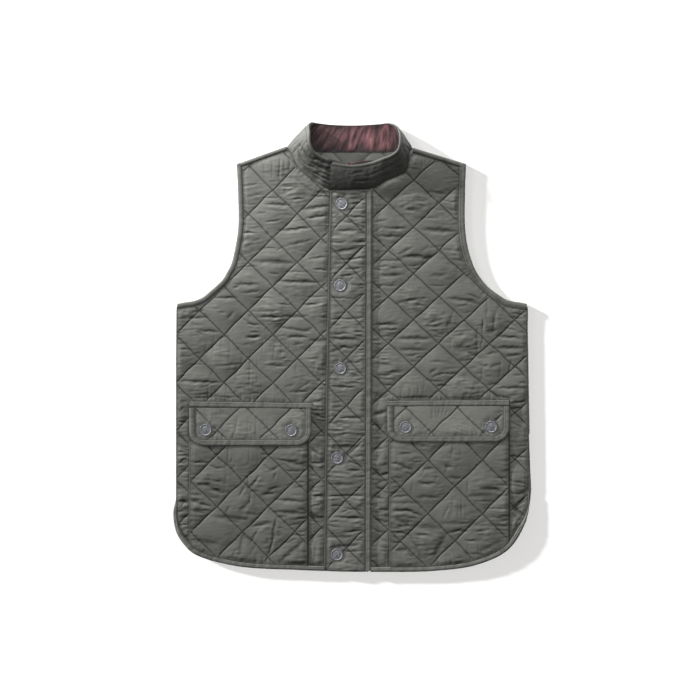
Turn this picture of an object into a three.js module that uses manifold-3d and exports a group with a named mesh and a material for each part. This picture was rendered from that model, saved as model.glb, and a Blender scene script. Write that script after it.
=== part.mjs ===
// Quilted vest with a stand collar, laid flat on its back with its front up.
// Millimetres. From above, x runs to the right and y to the collar, and z is up from the surface.
// Left and right are as seen from above. The origin lies under the middle of the vest.
import * as THREE from 'three';
import { mergeVertices } from 'three/addons/utils/BufferGeometryUtils.js';
import Module from 'manifold-3d';

const wasm = await Module();
wasm.setup();

// Heights of the layers, from the surface up
const gap = 0.3;
const wallBack = 4.5;
const wallStitched = 2.4;
const pressed = 0.1;
const baseFront = wallBack + gap;
const stitchFront = baseFront + wallStitched;
const baseOnFront = stitchFront - pressed + gap;
const stitchOnFront = baseOnFront + wallStitched;
const baseFlap = stitchOnFront - pressed + gap;
const stitchFlap = baseFlap + wallStitched;

// Heights and depths that clear the whole vest, for cutting tools
const farUp = 90;
const belowAll = -1;
const belowHem = -345;

// Steps along the smooth edges, and the smallest distance that counts between two of their points
const pathSteps = { armhole: 17, hem: 40, neck: 15, placket: 10 };
const samePoint = 0.01;

// Quilting: the rise of a pillow between its stitch lines, and how finely it is worked out
const rise = { front: 3.8, pocket: 3.2, flap: 2.4, placket: 2.6 };
const stepsPerPillow = 3;
const pillowFullness = 0.55;
const seamReach = 11;
const underCollar = 4;
const flapStitchInset = 3;

// One crossing of the stitch lines of each panel, and how far apart the crossings are
const quilting = {
  frontLeft: { x: -118.5, y: 162.8, across: 73.2, along: 72.3 },
  frontRight: { x: 54.8, y: 144.9, across: 75.9, along: 69.9 },
  placket: { x: -8, y: 196, across: 70, along: 71 },
  pocketLeft: { x: -202.5, y: -162.8, across: 78, along: 76.5 },
  pocketRight: { x: 114, y: -169.5, across: 81.8, along: 81 },
  flapLeft: { x: -201.8, y: -124.5, across: 78, along: 76.5 },
  flapRight: { x: 119.3, y: -128.1, across: 77, along: 73 },
};

// Bindings
const bindingWidth = { armLeft: 7, armRight: 9, hem: 7, flap: 8.2 };
const hemBindingTop = 11.4;
const armBindingTop = 9.8;
const hemBackInset = 1;

// Armholes: x of the outer edge on each side, from the shoulder down to the underarm
const armholeRows = [
  { y: 274.8, left: -173.3, right: 171.2 },
  { y: 229.5, left: -171.2, right: 169.6 },
  { y: 178, left: -171, right: 169.8 },
  { y: 148.5, left: -175.5, right: 174 },
  { y: 112.5, left: -186.5, right: 189 },
  { y: 94.5, left: -198, right: 204 },
  { y: 82, left: -210, right: 219 },
  { y: 70.5, left: -236, right: 249 },
  { y: 58.5, left: -262.5, right: 264 },
];

// Shoulders: the fold along the top, and the seam in front of it, from the armhole to the neck
const shoulders = {
  left: { tipX: -173.3, tipY: 274.8, neckX: -99.8, neckY: 301, foldWidth: 6.6 },
  right: { tipX: 171.2, tipY: 274.8, neckX: 93, neckY: 298.8, foldWidth: 7.8 },
};
const shoulderTop = 9.6;

// Side edges and hem, anticlockwise from the left underarm to the right one
const sideLeft = [{ x: -262.5, y: 58.5 }, { x: -264, y: -20 }, { x: -264, y: -222 }];
const hemRows = [
  { x: -264, y: -222 },
  { x: -269.3, y: -250 },
  { x: -262.5, y: -283.5 },
  { x: -237, y: -310.5 },
  { x: -174, y: -328.5 },
  { x: -78, y: -334.5 },
  { x: 40, y: -337.5 },
  { x: 120, y: -336 },
  { x: 186, y: -327 },
  { x: 234, y: -304.5 },
  { x: 260, y: -265.5 },
  { x: 269.3, y: -222 },
];
const sideRight = [{ x: 269.3, y: -222 }, { x: 267, y: -140 }, { x: 264, y: 30 }, { x: 264, y: 58.5 }];
const frontSideInset = 1.6;

// Neck edges of the fronts, from the shoulder to the centre, and of the back from left to right
const neckLeft = [
  { x: -90.6, y: 295 },
  { x: -83, y: 278 },
  { x: -75, y: 268.5 },
  { x: -54, y: 254 },
  { x: -31, y: 239 },
  { x: -4.65, y: 237 },
];
const neckRight = [
  { x: 88, y: 290 },
  { x: 83, y: 278 },
  { x: 79, y: 266 },
  { x: 68, y: 259.5 },
  { x: 51, y: 252.5 },
  { x: 29, y: 240 },
  { x: -4.35, y: 237 },
];
const neckBack = [
  { x: -99.8, y: 301 },
  { x: -89, y: 299.6 },
  { x: -74, y: 296.5 },
  { x: -48, y: 294 },
  { x: 0, y: 293.6 },
  { x: 48, y: 294 },
  { x: 72, y: 296.5 },
  { x: 93, y: 298.8 },
];
const centre = { left: -4.65, right: -4.35 };
const hemCentreY = -336.7;

// Storm flap down the centre front, and the folded strip along its right edge
const placketRows = [
  { y: 233.4, left: -33, right: 21, fold: 30 },
  { y: 60, left: -36.5, right: 20.6, fold: 29.4 },
  { y: -79.5, left: -39, right: 20.2, fold: 28.8 },
  { y: belowHem, left: -42, right: 19.4, fold: 27.8 },
];
const placketFoldTop = stitchOnFront + 2.6;

// Patch pockets with a welt and a flap each
const pockets = {
  left: { from: -244.5, to: -65.2, top: -91, weltFrom: -243.5, weltTo: -60, weltY: -81.8, weltEndY: -84.4 },
  right: { from: 55.5, to: 236.6, top: -88.3, weltFrom: 52, weltTo: 234.8, weltY: -81, weltEndY: -80 },
};
const weltWidth = 8.6;
const weltTop = stitchFlap + 2;
const flaps = {
  left: { from: -243.5, to: -60.8, top: -91.3, bottom: -148 },
  right: { from: 53.2, to: 235.8, top: -88.6, bottom: -142.5 },
};
const flapCorner = 22;
const cornerSteps = 6;
const flapBindingTop = stitchFlap + 2.2;

// Snap caps
const snap = { radius: 8.8, edge: 1.7, height: 3.1, sides: 16 };
const snapsOnPlacket = [
  { name: 'snap_placket_1', x: -15.6, y: 214.4 },
  { name: 'snap_placket_2', x: -17.7, y: 92.3 },
  { name: 'snap_placket_3', x: -17.4, y: -32.1 },
  { name: 'snap_placket_4', x: -22.2, y: -166.5 },
  { name: 'snap_placket_5', x: -22.5, y: -311.1 },
];
const snapsOnFlaps = [
  { name: 'snap_flap_left_1', x: -219, y: -124.1 },
  { name: 'snap_flap_left_2', x: -91.2, y: -125.1 },
  { name: 'snap_flap_right_1', x: 80.1, y: -120 },
  { name: 'snap_flap_right_2', x: 208.4, y: -119.6 },
];

// Stand collar, from its left end under the front, round the back, to its right end on top:
// where its outer face meets the neck seam, and where its rim is
const collarRows = [
  { seamX: -10.5, seamY: 237, seamZ: 10.9, rimX: -9, rimY: 275.5, rimZ: 17.6, bow: 2.2 },
  { seamX: -33, seamY: 236.2, seamZ: 10.9, rimX: -27.6, rimY: 279.2, rimZ: 18.4, bow: 2.2 },
  { seamX: -58.5, seamY: 249.8, seamZ: 11, rimX: -42, rimY: 282.4, rimZ: 24, bow: 2.2 },
  { seamX: -78, seamY: 264.8, seamZ: 11.2, rimX: -55, rimY: 288.8, rimZ: 31, bow: 2.2 },
  { seamX: -87, seamY: 280.5, seamZ: 11.4, rimX: -62.3, rimY: 301.5, rimZ: 35, bow: 2.2 },
  { seamX: -93.6, seamY: 294, seamZ: 10.4, rimX: -64, rimY: 318, rimZ: 33, bow: 2.0 },
  { seamX: -98.3, seamY: 300.3, seamZ: 6, rimX: -64.8, rimY: 332.3, rimZ: 22, bow: 1.4 },
  { seamX: -90, seamY: 301.2, seamZ: 1.5, rimX: -60.8, rimY: 337.8, rimZ: 7, bow: 0.4 },
  { seamX: -72, seamY: 297, seamZ: 0.3, rimX: -51, rimY: 336.6, rimZ: 1.5, bow: 0 },
  { seamX: -48, seamY: 294.8, seamZ: 0.3, rimX: -36, rimY: 334.5, rimZ: 0.8, bow: 0 },
  { seamX: 0, seamY: 294.4, seamZ: 0.3, rimX: 3, rimY: 333, rimZ: 0.8, bow: 0 },
  { seamX: 48, seamY: 294.8, seamZ: 0.3, rimX: 42, rimY: 335.1, rimZ: 0.8, bow: 0 },
  { seamX: 69, seamY: 297, seamZ: 0.3, rimX: 54.8, rimY: 336.6, rimZ: 2, bow: 0 },
  { seamX: 84, seamY: 300.8, seamZ: 2, rimX: 63.8, rimY: 334.5, rimZ: 8, bow: 0.4 },
  { seamX: 90.5, seamY: 299.4, seamZ: 6.5, rimX: 69.5, rimY: 327, rimZ: 22, bow: 1.4 },
  { seamX: 87.8, seamY: 292.5, seamZ: 10.6, rimX: 72, rimY: 313.5, rimZ: 33, bow: 2.0 },
  { seamX: 85.5, seamY: 277.5, seamZ: 11.2, rimX: 71, rimY: 299.3, rimZ: 38, bow: 2.2 },
  { seamX: 81, seamY: 262.5, seamZ: 11.6, rimX: 66.8, rimY: 290.3, rimZ: 39.5, bow: 2.2 },
  { seamX: 69, seamY: 255.6, seamZ: 12.2, rimX: 57.8, rimY: 284.1, rimZ: 38, bow: 2.2 },
  { seamX: 52.5, seamY: 249, seamZ: 12.8, rimX: 45.8, rimY: 279.9, rimZ: 35, bow: 2.2 },
  { seamX: 30, seamY: 237, seamZ: 14.2, rimX: 28.5, rimY: 274.5, rimZ: 31, bow: 2.2 },
  { seamX: 0, seamY: 235, seamZ: 14.6, rimX: 0, rimY: 270.6, rimZ: 27, bow: 2.2 },
  { seamX: -33.3, seamY: 235.2, seamZ: 14.6, rimX: -27.9, rimY: 276, rimZ: 24, bow: 2.2 },
];
const collar = { wall: 3, stepsPerRow: 3, stepsUp: 3 };
const lining = { wall: 1.2, under: 0.55, fromRow: 14 / 3, toRow: 62 / 3, rimInset: 0.05 };
const liningEdge = { backRow: 10.6, backReach: 1.6, foldReach: 3.4, backFoot: 0.02, foldFoot: 0.36 };

const nylon = new THREE.MeshStandardMaterial({ color: 0x6b6c66, roughness: 0.55, metalness: 0 });
const corduroy = new THREE.MeshStandardMaterial({ color: 0x5d343a, roughness: 0.9, metalness: 0 });
const gunmetal = new THREE.MeshStandardMaterial({ color: 0x74777c, roughness: 0.4, metalness: 0.7 });
const vest = new THREE.Group();

// Solids and meshes

function solidOf(geometry) {
  const bare = geometry.clone();
  bare.deleteAttribute('normal');
  bare.deleteAttribute('uv');
  const merged = mergeVertices(bare, 1e-4);
  const vertProperties = new Float32Array(merged.attributes.position.array);
  const triVerts = new Uint32Array(merged.index.array);
  return new wasm.Manifold(new wasm.Mesh({ numProp: 3, vertProperties, triVerts }));
}

function geometryOf(solid) {
  const mesh = solid.getMesh();
  const geometry = new THREE.BufferGeometry();
  geometry.setAttribute('position', new THREE.BufferAttribute(new Float32Array(mesh.vertProperties), 3));
  geometry.setIndex(Array.from(mesh.triVerts));
  return geometry;
}

function largestPiece(solid) {
  const pieces = solid.decompose();
  pieces.sort((one, other) => other.volume() - one.volume());
  return pieces[0];
}

function addPiece(name, solid, material) {
  const geometry = geometryOf(largestPiece(solid));
  geometry.computeVertexNormals();
  const mesh = new THREE.Mesh(geometry, material);
  mesh.name = name;
  vest.add(mesh);
}

function signedVolume(points, faces) {
  let sum = 0;
  for (const [a, b, c] of faces) {
    sum += points[a].dot(new THREE.Vector3().crossVectors(points[b], points[c]));
  }
  return sum / 6;
}

// A closed skin over a row of rings with the same number of points, an even one.
// Each end is closed by joining the first half of its ring to the second.
function loft(rings) {
  const size = rings[0].length;
  const points = rings.flat();
  const faces = [];
  for (let i = 0; i + 1 < rings.length; i += 1) {
    for (let j = 0; j < size; j += 1) {
      const next = (j + 1) % size;
      const here = i * size;
      const there = here + size;
      faces.push([here + j, here + next, there + next], [here + j, there + next, there + j]);
    }
  }
  for (const start of [0, points.length - size]) {
    for (let j = 0; j + 1 < size / 2; j += 1) {
      const quad = [start + j, start + j + 1, start + size - 2 - j, start + size - 1 - j];
      if (start === 0) {
        quad.reverse();
      }
      faces.push([quad[0], quad[1], quad[2]], [quad[0], quad[2], quad[3]]);
    }
  }
  const inward = signedVolume(points, faces) < 0;
  const geometry = new THREE.BufferGeometry();
  geometry.setFromPoints(points);
  geometry.setIndex(faces.flatMap(([a, b, c]) => (inward ? [a, c, b] : [a, b, c])));
  return solidOf(geometry);
}

function prism(outline, bottom, top) {
  const shape = new THREE.Shape(outline.map((point) => new THREE.Vector2(point.x, point.y)));
  const geometry = new THREE.ExtrudeGeometry(shape, { depth: top - bottom, bevelEnabled: false });
  geometry.translate(0, 0, bottom);
  return solidOf(geometry);
}

// Paths in the plane of the vest

function smooth(rows, steps) {
  const knots = rows.map((row) => new THREE.Vector3(row.x, row.y, 0));
  const curve = new THREE.CatmullRomCurve3(knots, false, 'centripetal');
  return curve.getSpacedPoints(steps).map((point) => ({ x: point.x, y: point.y }));
}

function join(...paths) {
  const joined = [];
  for (const point of paths.flat()) {
    const last = joined[joined.length - 1];
    if (!last || Math.hypot(point.x - last.x, point.y - last.y) > samePoint) {
      joined.push(point);
    }
  }
  const last = joined[joined.length - 1];
  if (Math.hypot(last.x - joined[0].x, last.y - joined[0].y) < samePoint) {
    joined.pop();
  }
  return joined;
}

// The unit vector across a path at one of its points, to its left when side is 1
function acrossPath(path, i, side) {
  const before = path[Math.max(i - 1, 0)];
  const after = path[Math.min(i + 1, path.length - 1)];
  const length = Math.hypot(after.x - before.x, after.y - before.y);
  return { x: (-side * (after.y - before.y)) / length, y: (side * (after.x - before.x)) / length };
}

function offsetPath(path, side, distance) {
  return path.map((point, i) => {
    const across = acrossPath(path, i, side);
    return { x: point.x + across.x * distance, y: point.y + across.y * distance };
  });
}

function distanceToPath(x, y, path) {
  let nearest = Infinity;
  for (let i = 0; i + 1 < path.length; i += 1) {
    const start = path[i];
    const dx = path[i + 1].x - start.x;
    const dy = path[i + 1].y - start.y;
    const along = ((x - start.x) * dx + (y - start.y) * dy) / (dx * dx + dy * dy);
    const t = Math.min(Math.max(along, 0), 1);
    nearest = Math.min(nearest, Math.hypot(x - start.x - t * dx, y - start.y - t * dy));
  }
  return nearest;
}

// A folded strip of cloth along a path, with soft corners
const stripSection = [
  { across: 0, up: 0.28 },
  { across: 0.14, up: 0 },
  { across: 0.86, up: 0 },
  { across: 1, up: 0.28 },
  { across: 1, up: 0.66 },
  { across: 0.8, up: 1 },
  { across: 0.2, up: 1 },
  { across: 0, up: 0.66 },
];

function strip(path, side, width, bottom, top) {
  return loft(path.map((point, i) => {
    const across = acrossPath(path, i, side);
    return stripSection.map((corner) => new THREE.Vector3(
      point.x + across.x * corner.across * width,
      point.y + across.y * corner.across * width,
      bottom + corner.up * (top - bottom),
    ));
  }));
}

// The room that a strip takes out of the cloth beside it
function stripRoom(path, side, width, bottom, top) {
  const outside = 6;
  const corners = [
    { across: -outside, z: bottom },
    { across: width + gap, z: bottom },
    { across: width + gap, z: top },
    { across: -outside, z: top },
  ];
  return loft(path.map((point, i) => {
    const across = acrossPath(path, i, side);
    return corners.map((corner) => new THREE.Vector3(
      point.x + across.x * corner.across,
      point.y + across.y * corner.across,
      corner.z,
    ));
  }));
}

// Quilted cloth

// A slab over the whole outline: flat below, with a pillow in each square of the stitch lines above.
// Lines one and two are the two sets of slanting stitch lines, a whole number on each line.
function quiltedSlab(quilt, outline, bottom, stitch, height) {
  const lineOne = (point) => (point.x - quilt.x) / quilt.across + (point.y - quilt.y) / quilt.along;
  const lineTwo = (point) => (point.x - quilt.x) / quilt.across - (point.y - quilt.y) / quilt.along;
  const ones = outline.map(lineOne);
  const twos = outline.map(lineTwo);
  const oneStart = Math.floor(Math.min(...ones)) - 1;
  const twoStart = Math.floor(Math.min(...twos)) - 1;
  const oneSteps = (Math.ceil(Math.max(...ones)) + 1 - oneStart) * stepsPerPillow;
  const twoSteps = (Math.ceil(Math.max(...twos)) + 1 - twoStart) * stepsPerPillow;
  const rings = [];
  for (let i = 0; i <= oneSteps; i += 1) {
    const above = [];
    const below = [];
    for (let j = 0; j <= twoSteps; j += 1) {
      const one = oneStart + i / stepsPerPillow;
      const two = twoStart + j / stepsPerPillow;
      const x = quilt.x + (quilt.across * (one + two)) / 2;
      const y = quilt.y + (quilt.along * (one - two)) / 2;
      const swell = Math.abs(Math.sin(Math.PI * one) * Math.sin(Math.PI * two));
      const full = swell < 1e-6 ? 0 : swell ** pillowFullness;
      above.push(new THREE.Vector3(x, y, stitch + height * full));
      below.unshift(new THREE.Vector3(x, y, bottom));
    }
    rings.push([...above, ...below]);
  }
  return loft(rings);
}

// Pillows sink to the stitched thickness towards each seam, whose inset is the strip that covers it
function sinkAtSeams(solid, seams, stitch) {
  const geometry = geometryOf(solid);
  const position = geometry.attributes.position;
  for (let i = 0; i < position.count; i += 1) {
    const above = position.getZ(i) - stitch;
    if (above > 1e-3) {
      let keep = 1;
      for (const seam of seams) {
        const distance = distanceToPath(position.getX(i), position.getY(i), seam.path) - seam.inset;
        keep = Math.min(keep, THREE.MathUtils.smoothstep(distance, 0, seamReach));
      }
      position.setZ(i, stitch + above * keep);
    }
  }
  return solidOf(geometry);
}

function quiltedPanel(quilt, outline, seams, bottom, stitch, height) {
  const slab = quiltedSlab(quilt, outline, bottom, stitch, height);
  return sinkAtSeams(slab.intersect(prism(outline, bottom - 1, farUp)), seams, stitch);
}

// Outer edges

const armhole = {
  left: smooth(armholeRows.map((row) => ({ x: row.left, y: row.y })), pathSteps.armhole),
  right: smooth(armholeRows.map((row) => ({ x: row.right, y: row.y })), pathSteps.armhole),
};
const hem = smooth(hemRows, pathSteps.hem);
const shoulderTip = (shoulder) => ({ x: shoulder.tipX, y: shoulder.tipY });
const shoulderNeck = (shoulder) => ({ x: shoulder.neckX, y: shoulder.neckY });
const shoulderFold = {
  left: [shoulderNeck(shoulders.left), shoulderTip(shoulders.left)],
  right: [shoulderTip(shoulders.right), shoulderNeck(shoulders.right)],
};
const neck = {
  left: smooth(neckLeft, pathSteps.neck),
  right: smooth(neckRight, pathSteps.neck),
  back: smooth(neckBack, pathSteps.neck),
};
const vestOutline = join(
  shoulderFold.left,
  armhole.left,
  sideLeft,
  hem,
  sideRight,
  [...armhole.right].reverse(),
  shoulderFold.right,
  [...neck.back].reverse(),
);
const placketHem = placketRows[placketRows.length - 1];
const hemLeftEnd = { x: placketHem.left - gap, y: -336 };
const hemRightEnd = { x: placketHem.fold + gap, y: -337.4 };
const hemLeft = [...hem.filter((point) => point.x < hemLeftEnd.x - 2), hemLeftEnd];
const hemRight = [hemRightEnd, ...hem.filter((point) => point.x > hemRightEnd.x + 2)];
const hemBack = offsetPath(hem, 1, hemBackInset);

// Collar: a band whose rows are run through by smooth curves

function collarCurve(x, y, z) {
  const knots = collarRows.map((row) => new THREE.Vector3(row[x], row[y], row[z]));
  return new THREE.CatmullRomCurve3(knots, false, 'centripetal');
}
const seamCurve = collarCurve('seamX', 'seamY', 'seamZ');
const rimCurve = collarCurve('rimX', 'rimY', 'rimZ');

// A point of the collar's outer face: row counts the table's rows, up is 0 at the seam and 1 at the rim
function collarFace(row, up) {
  const t = row / (collarRows.length - 1);
  return seamCurve.getPoint(t).lerp(rimCurve.getPoint(t), up);
}

function collarOutward(row, up) {
  const small = 0.05;
  const last = collarRows.length - 1;
  const ahead = collarFace(Math.min(row + small, last), up);
  const behind = collarFace(Math.max(row - small, 0), up);
  const along = ahead.sub(behind);
  const upwards = collarFace(row, 1).sub(collarFace(row, 0));
  return new THREE.Vector3().crossVectors(upwards, along).normalize();
}

// How far the band bows out half way up, between the table's rows
function collarBow(row) {
  const before = Math.min(Math.floor(row), collarRows.length - 2);
  return THREE.MathUtils.lerp(collarRows[before].bow, collarRows[before + 1].bow, row - before);
}

// A stretch of the band between two depths under its outer face, above its foot
function collarBand(fromRow, toRow, outer, inner, foot, rimEdge) {
  const steps = Math.round((toRow - fromRow) * collar.stepsPerRow);
  const rings = [];
  for (let i = 0; i <= steps; i += 1) {
    const row = fromRow + ((toRow - fromRow) * i) / steps;
    const ring = [[], []];
    for (let j = 0; j <= collar.stepsUp; j += 1) {
      const up = foot(row) + ((rimEdge - foot(row)) * j) / collar.stepsUp;
      const face = collarFace(row, up);
      const outward = collarOutward(row, up);
      const bow = collarBow(row) * 4 * up * (1 - up);
      ring[0].push(face.clone().addScaledVector(outward, bow - outer));
      ring[1].unshift(face.clone().addScaledVector(outward, bow - inner));
    }
    rings.push([...ring[0], ...ring[1]]);
  }
  return loft(rings);
}

const lastRow = collarRows.length - 1;
const collarSolid = collarBand(0, lastRow, 0, collar.wall, () => 0, 1);
const collarRoom = collarBand(0, lastRow, -gap, collar.wall + gap, () => -0.01, 1);

// Back, folded over the shoulders

const armRoom = {
  left: stripRoom(armhole.left, 1, bindingWidth.armLeft, belowAll, farUp),
  right: stripRoom(armhole.right, -1, bindingWidth.armRight, belowAll, farUp),
};
let back = prism(vestOutline, 0, wallBack);
back = back.add(strip(shoulderFold.left, 1, shoulders.left.foldWidth, 0, shoulderTop));
back = back.add(strip(shoulderFold.right, 1, shoulders.right.foldWidth, 0, shoulderTop));
back = back.subtract(armRoom.left);
back = back.subtract(armRoom.right);
back = back.subtract(stripRoom(hemBack, 1, bindingWidth.hem, belowAll, farUp));
back = back.subtract(collarRoom);
addPiece('back_panel', back, nylon);

// Fronts

const sideEdge = {
  left: [sideLeft[0], sideLeft[1], { x: hem[0].x, y: hem[0].y }],
  right: sideRight.map((row) => ({ x: row.x - frontSideInset, y: row.y })),
};
const shoulderSeam = {
  left: offsetPath(shoulderFold.left, 1, shoulders.left.foldWidth + gap),
  right: offsetPath(shoulderFold.right, 1, shoulders.right.foldWidth + gap),
};

function armholeBelow(side) {
  const tip = Math.min(shoulderSeam[side][0].y, shoulderSeam[side][1].y);
  return armhole[side].filter((point) => point.y < tip - 1);
}

const frontOutline = {
  left: join(
    shoulderSeam.left,
    armholeBelow('left'),
    sideEdge.left,
    hem.filter((point) => point.x < centre.left),
    [{ x: centre.left, y: hemCentreY }],
    [...neck.left].reverse(),
  ),
  right: join(
    neck.right.slice(-1),
    [{ x: centre.right, y: hemCentreY }],
    hem.filter((point) => point.x > centre.right && point.x < sideEdge.right[0].x - 1),
    sideEdge.right,
    armholeBelow('right').reverse(),
    shoulderSeam.right,
    neck.right,
  ),
};

function placketEdge(column) {
  return smooth(placketRows.map((row) => ({ x: row[column], y: row.y })), pathSteps.placket);
}
const placketLeftEdge = placketEdge('left');
const placketRightEdge = placketEdge('right');
const placketFoldEdge = placketEdge('fold');

// A rectangle with a gap at its sides
function grownBox(box, bottom) {
  return [
    { x: box.from - gap, y: bottom },
    { x: box.to + gap, y: bottom },
    { x: box.to + gap, y: box.top },
    { x: box.from - gap, y: box.top },
  ];
}

function weltPath(pocket) {
  return [{ x: pocket.weltFrom, y: pocket.weltY }, { x: pocket.weltTo, y: pocket.weltEndY }];
}

function weltRoom(side, bottom) {
  return stripRoom(weltPath(pockets[side]), -1, weltWidth, bottom, farUp);
}

// The room under and over a flap
function flapRoom(side) {
  const flap = flaps[side];
  const outline = grownBox({ from: flap.from, to: flap.to, top: flap.top + weltWidth }, flap.bottom - gap);
  return prism(outline, stitchOnFront - pressed, farUp);
}

function makeFront(side) {
  const direction = side === 'left' ? 1 : -1;
  const armWidth = side === 'left' ? bindingWidth.armLeft : bindingWidth.armRight;
  const quilt = side === 'left' ? quilting.frontLeft : quilting.frontRight;
  const hemPath = side === 'left' ? hemLeft : hemRight;
  const pocket = pockets[side];
  const pocketSides = [
    [{ x: pocket.from, y: belowHem }, { x: pocket.from, y: pocket.top }],
    [{ x: pocket.to, y: belowHem }, { x: pocket.to, y: pocket.top }],
  ];
  const seams = [
    { path: shoulderSeam[side], inset: 0 },
    { path: armhole[side], inset: armWidth },
    { path: sideEdge[side], inset: 0 },
    { path: hemPath, inset: bindingWidth.hem },
    { path: neck[side], inset: underCollar },
    { path: side === 'left' ? placketLeftEdge : placketFoldEdge, inset: 0 },
    { path: weltPath(pocket), inset: 0 },
    { path: pocketSides[0], inset: 0 },
    { path: pocketSides[1], inset: 0 },
  ];
  let front = quiltedPanel(quilt, frontOutline[side], seams, baseFront, stitchFront, rise.front);
  front = front.subtract(stripRoom(armhole[side], direction, armWidth, belowAll, farUp));
  front = front.subtract(stripRoom(hemPath, 1, bindingWidth.hem, belowAll, farUp));
  const floor = stitchFront - pressed;
  const centreRoom = join(
    offsetPath(placketLeftEdge, -1, gap),
    offsetPath([...placketFoldEdge].reverse(), -1, gap),
  );
  front = front.subtract(prism(centreRoom, floor, farUp));
  front = front.subtract(prism(grownBox({ ...pocket, top: pocket.weltEndY }, belowHem), floor, farUp));
  front = front.subtract(weltRoom(side, floor));
  front = front.subtract(flapRoom(side));
  front = front.subtract(collarRoom);
  return front;
}
addPiece('front_left', makeFront('left'), nylon);
addPiece('front_right', makeFront('right'), nylon);

// Bindings of the armholes: one strip on the front's edge and one on the back's, joined at both ends

function armholeBinding(path, side, width) {
  const upper = strip(path, side, width, baseFront, armBindingTop);
  const lower = strip(path, side, width, 0, wallBack);
  const shoulderEnd = strip(path.slice(0, 2), side, width, 0, armBindingTop);
  const underarmEnd = strip(path.slice(-2), side, width, 0, armBindingTop);
  return upper.add(lower).add(shoulderEnd).add(underarmEnd).subtract(collarRoom);
}
addPiece('armhole_binding_left', armholeBinding(armhole.left, 1, bindingWidth.armLeft), nylon);
addPiece('armhole_binding_right', armholeBinding(armhole.right, -1, bindingWidth.armRight), nylon);

// Bindings of the hems
addPiece('hem_binding_back', strip(hemBack, 1, bindingWidth.hem, 0, wallBack), nylon);
addPiece('hem_binding_left', strip(hemLeft, 1, bindingWidth.hem, baseFront, hemBindingTop), nylon);
addPiece('hem_binding_right', strip(hemRight, 1, bindingWidth.hem, baseFront, hemBindingTop), nylon);

// Storm flap

const snapRooms = [...snapsOnPlacket, ...snapsOnFlaps].map((place) => {
  const room = new THREE.CylinderGeometry(snap.radius + gap, snap.radius + gap, farUp, snap.sides);
  room.rotateX(Math.PI / 2);
  const floor = snapsOnPlacket.includes(place) ? stitchOnFront : stitchFlap;
  room.translate(place.x, place.y, farUp / 2 + floor - pressed);
  return solidOf(room);
});

const placketOutline = join(placketLeftEdge, [...placketRightEdge].reverse());
let placket = quiltedPanel(
  quilting.placket,
  placketOutline,
  [{ path: placketLeftEdge, inset: flapStitchInset }, { path: placketRightEdge, inset: 0 }],
  baseOnFront,
  stitchOnFront,
  rise.placket,
);
placket = placket.intersect(prism(vestOutline, belowAll, farUp));
for (const room of snapRooms) {
  placket = placket.subtract(room);
}
addPiece('placket', placket, nylon);

const foldStart = offsetPath(placketRightEdge, 1, gap);
const foldRings = foldStart.map((point, i) => {
  const width = placketFoldEdge[i].x - point.x;
  return stripSection.map((corner) => new THREE.Vector3(
    point.x + corner.across * width,
    point.y,
    baseOnFront + corner.up * (placketFoldTop - baseOnFront),
  ));
});
addPiece('placket_fold', loft(foldRings).intersect(prism(vestOutline, belowAll, farUp)), nylon);

// Pockets, their welts and flaps

function makePocket(side) {
  const pocket = pockets[side];
  const quilt = side === 'left' ? quilting.pocketLeft : quilting.pocketRight;
  const hemPath = side === 'left' ? hemLeft : hemRight;
  const outline = [
    { x: pocket.from, y: belowHem },
    { x: pocket.to, y: belowHem },
    { x: pocket.to, y: pocket.top },
    { x: pocket.from, y: pocket.top },
  ];
  const seams = [
    { path: [outline[1], outline[2]], inset: 0 },
    { path: [outline[3], outline[0]], inset: 0 },
    { path: hemPath, inset: bindingWidth.hem },
  ];
  let solid = quiltedPanel(quilt, outline, seams, baseOnFront, stitchOnFront, rise.pocket);
  solid = solid.intersect(prism(vestOutline, belowAll, farUp));
  solid = solid.subtract(stripRoom(hemPath, 1, bindingWidth.hem, belowAll, farUp));
  return solid.subtract(weltRoom(side, -1)).subtract(flapRoom(side));
}

function flapEdge(flap) {
  const corner = (x, from) => {
    const points = [];
    for (let i = 0; i <= cornerSteps; i += 1) {
      const angle = from + (i * Math.PI) / (2 * cornerSteps);
      points.push({
        x: x + flapCorner * Math.cos(angle),
        y: flap.bottom + flapCorner + flapCorner * Math.sin(angle),
      });
    }
    return points;
  };
  return [
    { x: flap.from, y: flap.top },
    { x: flap.from, y: (flap.top + flap.bottom + flapCorner) / 2 },
    ...corner(flap.from + flapCorner, Math.PI),
    { x: (flap.from + flap.to) / 2, y: flap.bottom },
    ...corner(flap.to - flapCorner, 1.5 * Math.PI),
    { x: flap.to, y: (flap.top + flap.bottom + flapCorner) / 2 },
    { x: flap.to, y: flap.top },
  ];
}

function makeFlap(side) {
  const quilt = side === 'left' ? quilting.flapLeft : quilting.flapRight;
  const edge = flapEdge(flaps[side]);
  const seams = [{ path: edge, inset: bindingWidth.flap }];
  let solid = quiltedPanel(quilt, edge, seams, baseFlap, stitchFlap, rise.flap);
  solid = solid.subtract(stripRoom(edge, 1, bindingWidth.flap, belowAll, farUp));
  solid = solid.subtract(weltRoom(side, -1));
  for (const room of snapRooms) {
    solid = solid.subtract(room);
  }
  return solid;
}

for (const side of ['left', 'right']) {
  addPiece(`pocket_${side}`, makePocket(side), nylon);
  addPiece(`pocket_welt_${side}`, strip(weltPath(pockets[side]), -1, weltWidth, baseOnFront, weltTop), nylon);
  addPiece(`pocket_flap_${side}`, makeFlap(side), nylon);
  const binding = strip(flapEdge(flaps[side]), 1, bindingWidth.flap, baseFlap, flapBindingTop);
  addPiece(`flap_binding_${side}`, binding.subtract(weltRoom(side, -1)), nylon);
}

// Collar and the corduroy inside it
addPiece('collar', collarSolid, nylon);
const liningOuter = collar.wall + lining.under;
const liningInner = liningOuter + lining.wall;
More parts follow.
